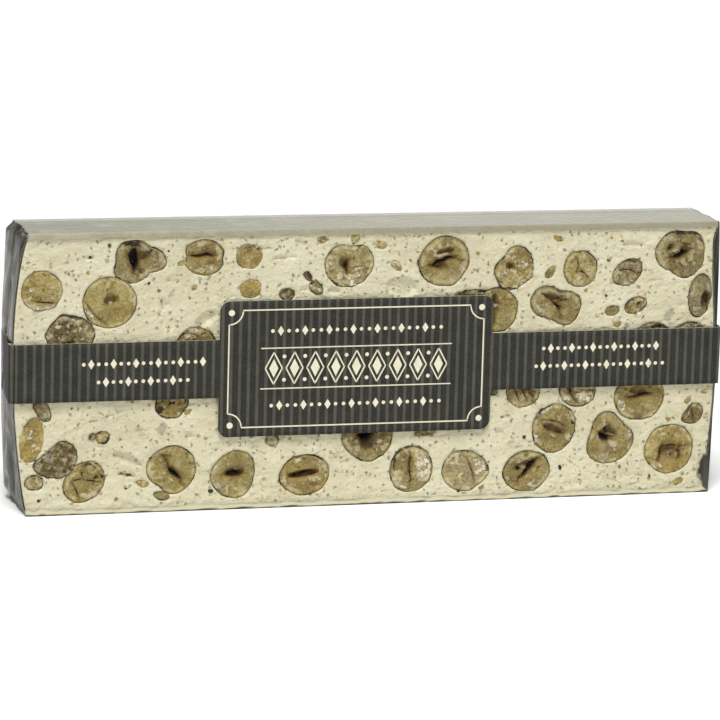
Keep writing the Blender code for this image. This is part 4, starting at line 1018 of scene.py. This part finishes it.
# The wafer sheets
# Thin sheets of edible wafer that the nougat was poured between. Their cut edges show as grainy
# strips along the long narrow sides.
def wafer_sheet(node):
    low, high = [np.array(corner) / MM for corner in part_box(node)]
    across = np.linspace(low[0], high[0], 240)
    along = np.linspace(low[1], high[1], 26)
    x, y = (part.ravel() for part in np.meshgrid(across, along, indexing="ij"))
    edge_x = np.where(np.abs(x) > high[0] - 1e-6, 0.12 * smooth_noise(0, y, 0, 1.1, 8), 0)
    edge_y = np.where(np.abs(y) > high[1] - 1e-6, 0.10 * smooth_noise(x, 0, 0, 0.9, 8), 0)
    wave = 0.04 * smooth_noise(x, y, 0, 6, 2)
    top = np.stack([x - np.sign(x) * abs(edge_x), y - np.sign(y) * abs(edge_y), high[2] + wave - 0.04],
                   axis=1)
    under = np.stack([top[:, 0], top[:, 1], low[2] + np.maximum(wave, 0)], axis=1)
    ring = perimeter(240, 26)
    faces = grid_faces(240, 26) + grid_faces(240, 26, len(top), flip=True)
    for j, k in zip(ring, ring[1:] + ring[:1]):
        faces.append((j, len(top) + j, len(top) + k, k))
    made = mesh_object(node + "_sheet", np.concatenate([top, under]), faces)
    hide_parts(node)
    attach(made, "root")
    return made


def wafer_material():
    made, tree, shader = new_material("wafer", 0.8)
    height, mask = grain(tree, 900.0)
    colour = blend(tree, mask, tint(205, 199, 176), tint(176, 166, 138))
    tree.links.new(colour, shader.inputs["Base Color"])
    finish_bump(tree, shader, height, 0.0003)
    return made


WAFER = wafer_material()
for node in ("wafer_top", "wafer_bottom"):
    wafer_sheet(node).data.materials.append(WAFER)


# The clear film
# Thin film drawn tight round the slice, folded over and sealed at both ends, with a seam along the
# back. Flat it can hardly be seen; along the top and at the folded ends it looks grey. That grey is
# painted into its colour as painted reflection and shade, with a painted shadow along its foot.
FILM_HIGH = np.array(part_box("film_wrap")[1]) / MM
FILM_OUT = 0.42


def film_left(y, z):
    """How far the film stands out at the left end: tight on the nougat in front, slack behind."""
    up = np.clip(z / FILM_HIGH[2], 0, 1)
    tight = left_swell(FRONT_Y, z) + 0.35
    slack = 0.35 + (1.6 + 0.7 * np.sin(math.pi * up)) * fade(z, 0, 4.0) * fade(FILM_HIGH[2] - z, 0, 2.2)
    back = np.clip((y - FRONT_Y) / (BACK_Y - FRONT_Y), 0, 1)
    return tight + (slack - tight) * back


def film_right(z):
    up = np.clip(z / FILM_HIGH[2], 0, 1)
    return np.maximum(0.35 + 0.6 * np.sqrt(np.sin(math.pi * up) + 1e-9), right_wave(z) + 0.25)


def film_x(x, y, z):
    """x on the flat slice carried out to the film's ends."""
    left, right = fade(-x, HALF_LENGTH - 5, HALF_LENGTH), fade(x, HALF_LENGTH - 5, HALF_LENGTH)
    inner = stretched(x, y, z)
    out = inner + left * (-HALF_LENGTH - film_left(y, z) - stretched(-HALF_LENGTH, y, z))
    return out + right * (HALF_LENGTH + film_right(z) - stretched(HALF_LENGTH, y, z))


film_columns = np.concatenate([
    np.linspace(-HALF_LENGTH, -HALF_LENGTH + 6, 16),
    np.linspace(-HALF_LENGTH + 6, HALF_LENGTH - 6, 90)[1:-1],
    np.linspace(HALF_LENGTH - 6, HALF_LENGTH - 2.6, 7)[:-1],
    np.linspace(HALF_LENGTH - 2.6, HALF_LENGTH, 22),
])
film_rows = np.concatenate([[0.0, 0.18, 0.3, 0.42, 0.7, 1.0, 1.25], np.linspace(1.5, 69.5, 76),
                            [69.85, 70.05, 70.2, 70.4, 70.6, 71.2, FILM_HIGH[2]]])
x, z = (part.ravel() for part in np.meshgrid(film_columns, film_rows, indexing="ij"))


def film_sheet(side):
    base = (FRONT_Y - FILM_OUT) if side < 0 else (BACK_Y + FILM_OUT)
    ripple = 0.05 * smooth_noise(x * 0.3, side, z, 3.0, 12) * fade(np.minimum(z, FILM_HIGH[2] - z), 0, 3)
    tuck = fade(np.abs(x), HALF_LENGTH - 3, HALF_LENGTH + 0.1) * 0.12
    seam = (0.2 * (side > 0) * fade(z, 9.0, 9.9) * fade(z, 21.3, 20.4)
            * fade(np.abs(x), HALF_LENGTH - 1, HALF_LENGTH - 2))
    return np.stack([film_x(x, base, z), base + side * (ripple - tuck + seam), z], axis=1)


film_front, film_back = film_sheet(-1), film_sheet(1)
columns, rows = len(film_columns), len(film_rows)
loop = perimeter(columns, rows)
# The film past the right end and over the broken corner is painted dark grey like the ends: painted shade
beyond = film_front[:, 0] - stretched(HALF_LENGTH, FRONT_Y, z)
chipped = 1.08 - np.hypot((film_front[:, 0] - CHIP_AT[0]) / CHIP_HALF[0], (z - CHIP_AT[2]) / CHIP_HALF[2])
chipped = chipped + 0.30 * smooth_noise(film_front[:, 0], 0, z, 1.5)
margin = np.maximum(fade(beyond, -0.05, 0.1), fade(chipped, 0.0, 0.08) * (film_front[:, 0] > 80))
ends, tops = [margin], [np.zeros(len(x))]
ragged = 0.22 * smooth_noise(x, 0, z, 1.7, 31) + 0.10 * smooth_noise(x, 0, z, 0.8, 33)
low_smear = fade(z + 0.8 * ragged, 0.26, 0.38) * fade(z + 2.0 * ragged, 1.7, 1.1)
# feet: a thin dark line along the foot of the front, a painted shadow where the slice meets the floor
strips, feet = [np.maximum(fade(z + ragged, 70.1, 70.3), low_smear)], [fade(z + 0.8 * ragged, 0.36, 0.24)]
points, faces = [film_front], grid_faces(columns, rows)
count, last_ring = len(film_front), loop
FILM_SIDES = 18
at_x, at_z = x[loop], z[loop]
end = np.where(np.abs(at_x) > HALF_LENGTH - 1e-6, np.sign(at_x), 0)
up = np.where(at_z > FILM_HIGH[2] - 1e-6, 1, 0) - np.where(at_z < 1e-6, 1, 0)
for row in range(1, FILM_SIDES):
    share = row / FILM_SIDES
    y = FRONT_Y - FILM_OUT + (BACK_Y - FRONT_Y + 2 * FILM_OUT) * share
    middle = math.sin(math.pi * share)
    crease = (0.9 * smooth_noise(y + 0.05 * at_z, at_z * 0.12, at_x * 0.02, 2.4, 21) * middle
              * fade(at_z, 0, 6))
    crease += 0.4 * smooth_noise(y - 0.2 * at_z, at_z * 0.3, at_x * 0.02, 1.7, 23) * middle
    flap = 0.35 * (y > 3.0) * fade(np.minimum(at_z, FILM_HIGH[2] - at_z) - (BACK_Y + FILM_OUT - y), 0, 1.0)
    slack = 0.10 * smooth_noise(at_x * 0.2, y, 0, 2.6, 5) * (up > 0)
    ring = np.stack([film_x(at_x, y, at_z) + np.where(end < 0, -crease - flap,
                                                      np.where(end > 0, np.minimum(crease, 0.5) + flap, 0)),
                     np.full(len(loop), y), at_z + np.minimum(slack, 0.0)], axis=1)
    points.append(ring)
    ends.append(np.where(end != 0, 1.0 - 0.06 * (flap > 0.2), 0.0))
    tops.append(np.where(end == 0, 1.0, 0.6))
    strips.append(np.zeros(len(ring)))
    feet.append(np.zeros(len(ring)))
    this_ring = list(range(count, count + len(ring)))
    for j in range(len(ring)):
        k = (j + 1) % len(ring)
        faces.append((last_ring[j], this_ring[j], this_ring[k], last_ring[k]))
    count += len(ring)
    last_ring = this_ring
points.append(film_back)
for values in (ends, tops, strips, feet):
    values.append(np.zeros(len(film_back)))
faces += grid_faces(columns, rows, count, flip=True)
back_loop = perimeter(columns, rows, count)
for j in range(len(back_loop)):
    k = (j + 1) % len(back_loop)
    faces.append((last_ring[j], back_loop[j], back_loop[k], last_ring[k]))
clear_film = mesh_object("clear_film", np.concatenate(points), faces)
for key, values in (("ends", ends), ("tops", tops), ("strips", strips), ("feet", feet)):
    paint(clear_film, key, np.concatenate(values))
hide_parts("film_wrap")
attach(clear_film, "root")


def film_material():
    made, tree, shader = new_material("clear_film", 0.22, Specular_IOR_Level=0.12)
    ends, tops, strips, feet = (value_of(tree, name) for name in ("ends", "tops", "strips", "feet"))
    place = add_node(tree, "TexCoord").outputs["Object"]
    apart = add_node(tree, "SeparateXYZ", {"Vector": place})
    tall = add_node(tree, "VectorMath", {0: place, 1: (1.0, 1.0, 0.10)}, operation="MULTIPLY").outputs[0]
    streaks = add_node(tree, "TexNoise", {"Vector": tall, "Scale": 520.0, "Detail": 3.0}).outputs["Fac"]
    film_patches = add_node(tree, "TexNoise", {"Vector": place, "Scale": 120.0, "Detail": 3.0}).outputs["Fac"]
    _, mask = grain(tree, 1500.0)
    # The film's top is painted grey as a painted reflection of the surround seen at a low angle: lighter
    # towards the right and in patches, darker and bluer towards the back
    rightward = ramp(tree, apart.outputs["X"], -0.09, 0.03)
    top = blend(tree, rightward, tint(175, 174, 157), tint(197, 196, 180))
    top = blend(tree, ramp(tree, film_patches, 0.5, 0.75, 0.0, 0.5), top, tint(208, 206, 191))
    top = blend(tree, ramp(tree, apart.outputs["Y"], 0.004, 0.0065, 0.0, 0.6), top, tint(178, 179, 168))
    strip = blend(tree, rightward, tint(180, 175, 150), tint(163, 158, 137))
    strip = blend(tree, calc(tree, "MULTIPLY", mask, 0.5), strip, tint(146, 138, 110))
    strip = blend(tree, ramp(tree, apart.outputs["Z"], 0.03, 0.02), strip, tint(212, 206, 174))
    # The folded ends are painted dark grey and near opaque, as painted shade and a painted reflection of a
    # dark surround, with lighter painted streaks along the creases and olive patches, darkest at their
    # front edge
    dark = blend(tree, ramp(tree, streaks, 0.36, 0.70), tint(40, 39, 33), tint(90, 88, 77))
    dark = blend(tree, ramp(tree, film_patches, 0.60, 0.74, 0.0, 0.6), dark, tint(92, 86, 52))
    colour = blend(tree, strips, top, strip)
    in_front = ramp(tree, apart.outputs["Y"], -0.0110, -0.0112)
    dark = blend(tree, calc(tree, "MULTIPLY", in_front, 0.8), dark, tint(36, 35, 29))
    colour = blend(tree, calc(tree, "MAXIMUM", ends, feet), colour, dark)
    tree.links.new(colour, shader.inputs["Base Color"])
    level = calc(tree, "ADD", 0.012, calc(tree, "MULTIPLY", tops, 0.86))
    level = calc(tree, "ADD", level, calc(tree, "MULTIPLY", strips, 0.88), clamp=True)
    dark_level = calc(tree, "MULTIPLY", calc(tree, "MAXIMUM", ends, calc(tree, "MULTIPLY", feet, 0.8)),
                      0.98)
    tree.links.new(calc(tree, "MAXIMUM", level, dark_level), shader.inputs["Alpha"])
    finish_bump(tree, shader, streaks, 0.0004)
    return made


clear_film.data.materials.append(film_material())


# The paper band
# One die-cut strip of uncoated charcoal paper, printed with fine grey upright stripes. It runs right
# round the slice, widens into a plaque at the front, and is glued behind.
BAND_LOW, BAND_HIGH = 29.1, 44.0
PLAQUE_X, PLAQUE_Z, PLAQUE_ROUND = (-41.6, 29.9), (18.9, 53.8), 2.6
PAPER = 0.3
PAPER_LOW, PAPER_HIGH = [np.array(corner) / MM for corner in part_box("paper_band")]
BAND_ROUND = 1.4
BULGE_BEHIND = 2.3 + 0.35
STRIPE, STRIPE_HALF, STRIPE_START = 2.28, 0.38, 0.35


def band_path():
    """Points round the slice, anticlockwise from the front left."""
    inset = PAPER / 2
    left, right = PAPER_LOW[0] + inset, PAPER_HIGH[0] - inset
    left_back = -(HALF_LENGTH + BULGE_BEHIND + PAPER)
    front_y, back_y = PAPER_LOW[1] + inset, PAPER_HIGH[1] - inset
    corners = [((left, front_y), 225), ((right, front_y), 315), ((right, back_y), 45),
               ((left_back, back_y), 135)]
    path = []
    for (at_x, at_y), turn in corners:
        middle = (at_x - math.copysign(BAND_ROUND, at_x), at_y - math.copysign(BAND_ROUND, at_y))
        for step in range(7):
            angle = math.radians(turn - 45 + 15 * step)
            path.append((middle[0] + BAND_ROUND * math.cos(angle),
                         middle[1] + BAND_ROUND * math.sin(angle)))
    return path


def dense(path, step):
    """The closed path with points no further apart than step."""
    out = []
    for start, end in zip(path, path[1:] + path[:1]):
        count = max(1, math.ceil(math.dist(start, end) / step))
        out += [tuple(np.array(start) + (np.array(end) - start) * i / count) for i in range(count)]
    return out


path = dense(band_path(), 1.4)
plaque_columns = sorted(set(np.concatenate([
    np.linspace(*PLAQUE_X, 52), PLAQUE_X[0] + PLAQUE_ROUND * (1 - np.cos(np.linspace(0, math.pi / 2, 9))),
    PLAQUE_X[1] - PLAQUE_ROUND * (1 - np.cos(np.linspace(0, math.pi / 2, 9)))]).round(4)))
front_y = min(p[1] for p in path)
on_front = [p for p in path if p[1] < front_y + 1e-6]
rest = [p for p in path if p[1] >= front_y + 1e-6]
start_left = [p for p in on_front if p[0] < PLAQUE_X[0] - 0.2]
end_right = [p for p in on_front if p[0] > PLAQUE_X[1] + 0.2]
ordered = sorted(start_left) + [(c, front_y) for c in plaque_columns] + sorted(end_right)
right_part = [p for p in rest if p[0] > 0 or p[1] > BACK_Y]
left_part = [p for p in rest if p not in right_part]
path = ordered + right_part + left_part
along = np.concatenate([[0], np.cumsum([math.dist(a, b) for a, b in zip(path, path[1:])])])
band_rows = np.linspace(BAND_LOW, BAND_HIGH, 12)
points = [(px, py, pz) for px, py in path for pz in band_rows]
way = [a for a in along for _ in band_rows]
rows = len(band_rows)
faces = []
for i in range(len(path)):
    a, b = i * rows, ((i + 1) % len(path)) * rows
    faces += [(a + j, b + j, b + j + 1, a + j + 1) for j in range(rows - 1)]
first = len(start_left)


def wing(edge_row, far, steps):
    """The part of the plaque above or below the band, with its rounded corners."""
    start = len(points)
    sign = 1 if far > BAND_HIGH else -1
    for column, at_x in enumerate(plaque_columns):
        into = min(at_x - PLAQUE_X[0], PLAQUE_X[1] - at_x)
        drop = 0.0
        if into < PLAQUE_ROUND:
            drop = PLAQUE_ROUND - math.sqrt(max(PLAQUE_ROUND ** 2 - (PLAQUE_ROUND - into) ** 2, 0))
        edge = BAND_HIGH if sign > 0 else BAND_LOW
        for step in range(1, steps + 1):
            points.append((at_x, front_y, edge + (far - sign * drop - edge) * step / steps))
            way.append(along[first + column])
    for column in range(len(plaque_columns) - 1):
        base = [(first + column) * rows + edge_row, (first + column + 1) * rows + edge_row]
        for step in range(steps):
            low = base if step == 0 else [start + column * steps + step - 1,
                                          start + (column + 1) * steps + step - 1]
            high = [start + column * steps + step, start + (column + 1) * steps + step]
            quad = (low[0], low[1], high[1], high[0])
            faces.append(quad if sign > 0 else quad[::-1])


wing(rows - 1, PLAQUE_Z[1], 8)
wing(0, PLAQUE_Z[0], 8)
points = np.array(points)
lift = 0.05 * smooth_noise(points[:, 0] * 0.5, points[:, 1], points[:, 2], 6.0, 14)
points[:, 1] += np.where(points[:, 1] < FRONT_Y, np.maximum(lift, 0), 0)
paper_band = mesh_object("paper_band_printed", points, faces)
paint(paper_band, "along", np.array(way) - along[first])
thicken = paper_band.modifiers.new("paper", "SOLIDIFY")
thicken.thickness = PAPER * MM
thicken.offset = 0.0
thicken.use_rim = True
thicken.material_offset_rim = 1
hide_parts("paper_band")
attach(paper_band, "root")


def paper_material():
    made, tree, shader = new_material("charcoal_paper", 0.75, Specular_IOR_Level=0.25)
    place = add_node(tree, "TexCoord").outputs["Object"]
    along = value_of(tree, "along")
    turn = calc(tree, "MODULO", calc(tree, "ADD", along, 1000 * STRIPE + STRIPE_START), STRIPE)
    off = calc(tree, "ABSOLUTE", calc(tree, "SUBTRACT", turn, STRIPE / 2))
    fibre = add_node(tree, "TexNoise", {"Vector": place, "Scale": 2600.0, "Detail": 3.0}).outputs["Fac"]
    wide = add_node(tree, "TexNoise", {"Vector": place, "Scale": 240.0, "Detail": 3.0}).outputs["Fac"]
    soft = calc(tree, "ADD", off, ramp(tree, fibre, 0.3, 0.7, -0.05, 0.05))
    dark = blend(tree, ramp(tree, wide, 0.3, 0.7), tint(38, 38, 33), tint(46, 46, 40))
    pale = blend(tree, ramp(tree, wide, 0.3, 0.7), tint(72, 71, 63), tint(82, 80, 71))
    colour = blend(tree, ramp(tree, soft, STRIPE_HALF + 0.05, STRIPE_HALF - 0.05), dark, pale)
    colour = blend(tree, ramp(tree, fibre, 0.45, 0.75, 0.0, 0.16), colour, tint(112, 110, 100))
    tree.links.new(colour, shader.inputs["Base Color"])
    finish_bump(tree, shader, fibre, 0.00008)
    return made


def paper_edge_material():
    made, tree, shader = new_material("cut_paper_edge", 0.8)
    height, mask = grain(tree, 2200.0)
    colour = blend(tree, mask, tint(214, 208, 184), tint(180, 174, 150))
    tree.links.new(colour, shader.inputs["Base Color"])
    finish_bump(tree, shader, height, 0.0001)
    return made


paper_band.data.materials.append(paper_material())
paper_band.data.materials.append(paper_edge_material())


# The print on the band
# Cream ink: a plain ruled frame with scooped corners, and rows of lozenges and beads.
INK_Y = PAPER_LOW[1] - 0.02
ink_points, ink_faces = [], []


def ribbon(centre, width):
    """A flat inked line along points (x, z), with its width at each point."""
    centre, width = np.array(centre, float), np.broadcast_to(width, len(centre))
    way_on = np.gradient(centre, axis=0)
    way_on /= np.linalg.norm(way_on, axis=1, keepdims=True) + 1e-9
    side = np.stack([-way_on[:, 1], way_on[:, 0]], axis=1) * width[:, None] / 2
    start = len(ink_points)
    for left, right in zip(centre + side, centre - side):
        ink_points.append((left[0], INK_Y, left[1]))
        ink_points.append((right[0], INK_Y, right[1]))
    for step in range(len(centre) - 1):
        a = start + 2 * step
        ink_faces.append((a + 1, a + 3, a + 2, a))


def blot(outline_points):
    """A flat inked patch inside points (x, z), anticlockwise."""
    start = len(ink_points)
    ink_points.extend((px, INK_Y, pz) for px, pz in outline_points)
    ink_faces.append(tuple(range(start, start + len(outline_points))))


def disc(at_x, at_z, radius, sides=20):
    turn = np.arange(sides) * 2 * math.pi / sides
    blot([(at_x + radius * math.cos(t), at_z + radius * math.sin(t)) for t in turn])


def lozenge(at_x, at_z, wide, tall):
    blot([(at_x - wide / 2, at_z), (at_x, at_z - tall / 2), (at_x + wide / 2, at_z),
          (at_x, at_z + tall / 2)])


def open_lozenge(at_x, at_z, wide, tall, line):
    corners = [(at_x - wide / 2, at_z), (at_x, at_z - tall / 2), (at_x + wide / 2, at_z),
               (at_x, at_z + tall / 2)]
    for one, two in zip(corners, corners[1:] + corners[:1]):
        ribbon([one, two], line)


FRAME_IN, SCOOP = 2.4, 3.6


def ruled_frame():
    """A thin rule inside the plaque's edge, with scooped corners and a bead in each of them."""
    low_x, high_x = PLAQUE_X[0] + FRAME_IN, PLAQUE_X[1] - FRAME_IN
    low_z, high_z = PLAQUE_Z[0] + FRAME_IN, PLAQUE_Z[1] - FRAME_IN
    line = []
    for at_x, at_z, start in ((low_x, low_z, 90), (high_x, low_z, 180), (high_x, high_z, 270),
                              (low_x, high_z, 0)):
        for step in range(13):
            angle = math.radians(start - 7.5 * step)
            line.append((at_x + SCOOP * math.cos(angle), at_z + SCOOP * math.sin(angle)))
        disc(at_x + math.copysign(0.6, middle_x - at_x), at_z + math.copysign(0.6, middle_z - at_z), 0.8)
    ribbon(line + line[:1], 0.35)


middle_x, middle_z = sum(PLAQUE_X) / 2, sum(PLAQUE_Z) / 2
ruled_frame()
for rule in (-5.2, 5.2):
    ribbon([(middle_x - 25, middle_z + rule), (middle_x + 25, middle_z + rule)], 0.3)
for step in range(-4, 5):
    at_x = middle_x + 5.4 * step
    open_lozenge(at_x, middle_z, 4.4, 8.2, 0.35)
    lozenge(at_x, middle_z, 2.4, 4.8)
for step in range(-4, 4):
    disc(middle_x + 5.4 * (step + 0.5), middle_z + 3.0, 0.5)
    disc(middle_x + 5.4 * (step + 0.5), middle_z - 3.0, 0.5)


def bead_row(at_x, at_z, count, pitch, size):
    for index in range(count):
        spot = at_x + pitch * (index - (count - 1) / 2)
        if index % 3 == 1:
            lozenge(spot, at_z, size * 1.1, size * 1.7)
        else:
            disc(spot, at_z, size * 0.32, 14)


bead_row(middle_x, middle_z + 9.6, 22, 2.1, 1.5)
bead_row(middle_x, middle_z - 9.6, 22, 2.1, 1.5)
bead_row(-61.0, 38.6, 17, 1.9, 1.5)
bead_row(-61.0, 34.0, 13, 1.9, 1.5)
bead_row(59.0, 39.6, 17, 1.9, 1.5)
bead_row(59.0, 35.0, 19, 1.9, 1.5)
band_print = mesh_object("band_print", np.array(ink_points), ink_faces)
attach(band_print, "root")


def ink_material():
    made, tree, shader = new_material("cream_ink", 0.55)
    height, mask = grain(tree, 2400.0)
    colour = blend(tree, calc(tree, "MULTIPLY", mask, 0.5), tint(232, 227, 200), tint(204, 198, 168))
    tree.links.new(colour, shader.inputs["Base Color"])
    finish_bump(tree, shader, height, 0.00008)
    return made


band_print.data.materials.append(ink_material())


# The studio
# A plain pale floor, one soft light high in front of the slice, and an even white surround. The
# camera stands to the left and a little above, far off, as in the photograph.
floor_mesh = bpy.data.meshes.new("floor")
floor_mesh.from_pydata([(-4, -4, 0), (4, -4, 0), (4, 4, 0), (-4, 4, 0)], [], [(0, 1, 2, 3)])
floor = bpy.data.objects.new("floor", floor_mesh)
bpy.context.scene.collection.objects.link(floor)
floor_paint, floor_tree, floor_shader = new_material("pale_floor", 0.9)
_, floor_mask = grain(floor_tree, 300.0)
floor_tree.links.new(blend(floor_tree, floor_mask, tint(248, 248, 247), tint(250, 250, 249)),
                     floor_shader.inputs["Base Color"])
floor.data.materials.append(floor_paint)

key_data = bpy.data.lights.new("key", "SUN")
key_data.energy, key_data.angle = 3.3, math.radians(20)
key = bpy.data.objects.new("key", key_data)
bpy.context.scene.collection.objects.link(key)
key.rotation_euler = Vector((-0.14, -0.42, 0.90)).to_track_quat("Z", "Y").to_euler()
world = bpy.data.worlds.new("studio")
bpy.context.scene.world = world
world.use_nodes = True
world.node_tree.nodes["Background"].inputs["Color"].default_value = (1.0, 1.0, 1.0, 1.0)
world.node_tree.nodes["Background"].inputs["Strength"].default_value = 0.27
bpy.context.scene.view_settings.view_transform = "Standard"

AZIMUTH, LIFT, ROLL = math.radians(-15.32), math.radians(11.53), math.radians(1.57)
DISTANCE, AIM = 1.039, Vector((-0.00175, 0.0, 0.0354))
FRAME_PIXELS, FOCAL_PIXELS, SENSOR = 720, 4050, 36.0
back = Vector((math.sin(AZIMUTH) * math.cos(LIFT), -math.cos(AZIMUTH) * math.cos(LIFT), math.sin(LIFT)))
right = (-back).cross(Vector((0, 0, 1))).normalized()
above = right.cross(-back)
turned_right = right * math.cos(ROLL) + above * math.sin(ROLL)
turned_up = above * math.cos(ROLL) - right * math.sin(ROLL)
lens = bpy.data.cameras.new("camera")
lens.sensor_width = SENSOR
lens.lens = FOCAL_PIXELS / FRAME_PIXELS * SENSOR
camera = bpy.data.objects.new("camera", lens)
bpy.context.scene.collection.objects.link(camera)
turn = Matrix((turned_right, turned_up, back)).transposed().to_4x4()
camera.matrix_world = Matrix.Translation(AIM + back * DISTANCE) @ turn
bpy.context.scene.camera = camera
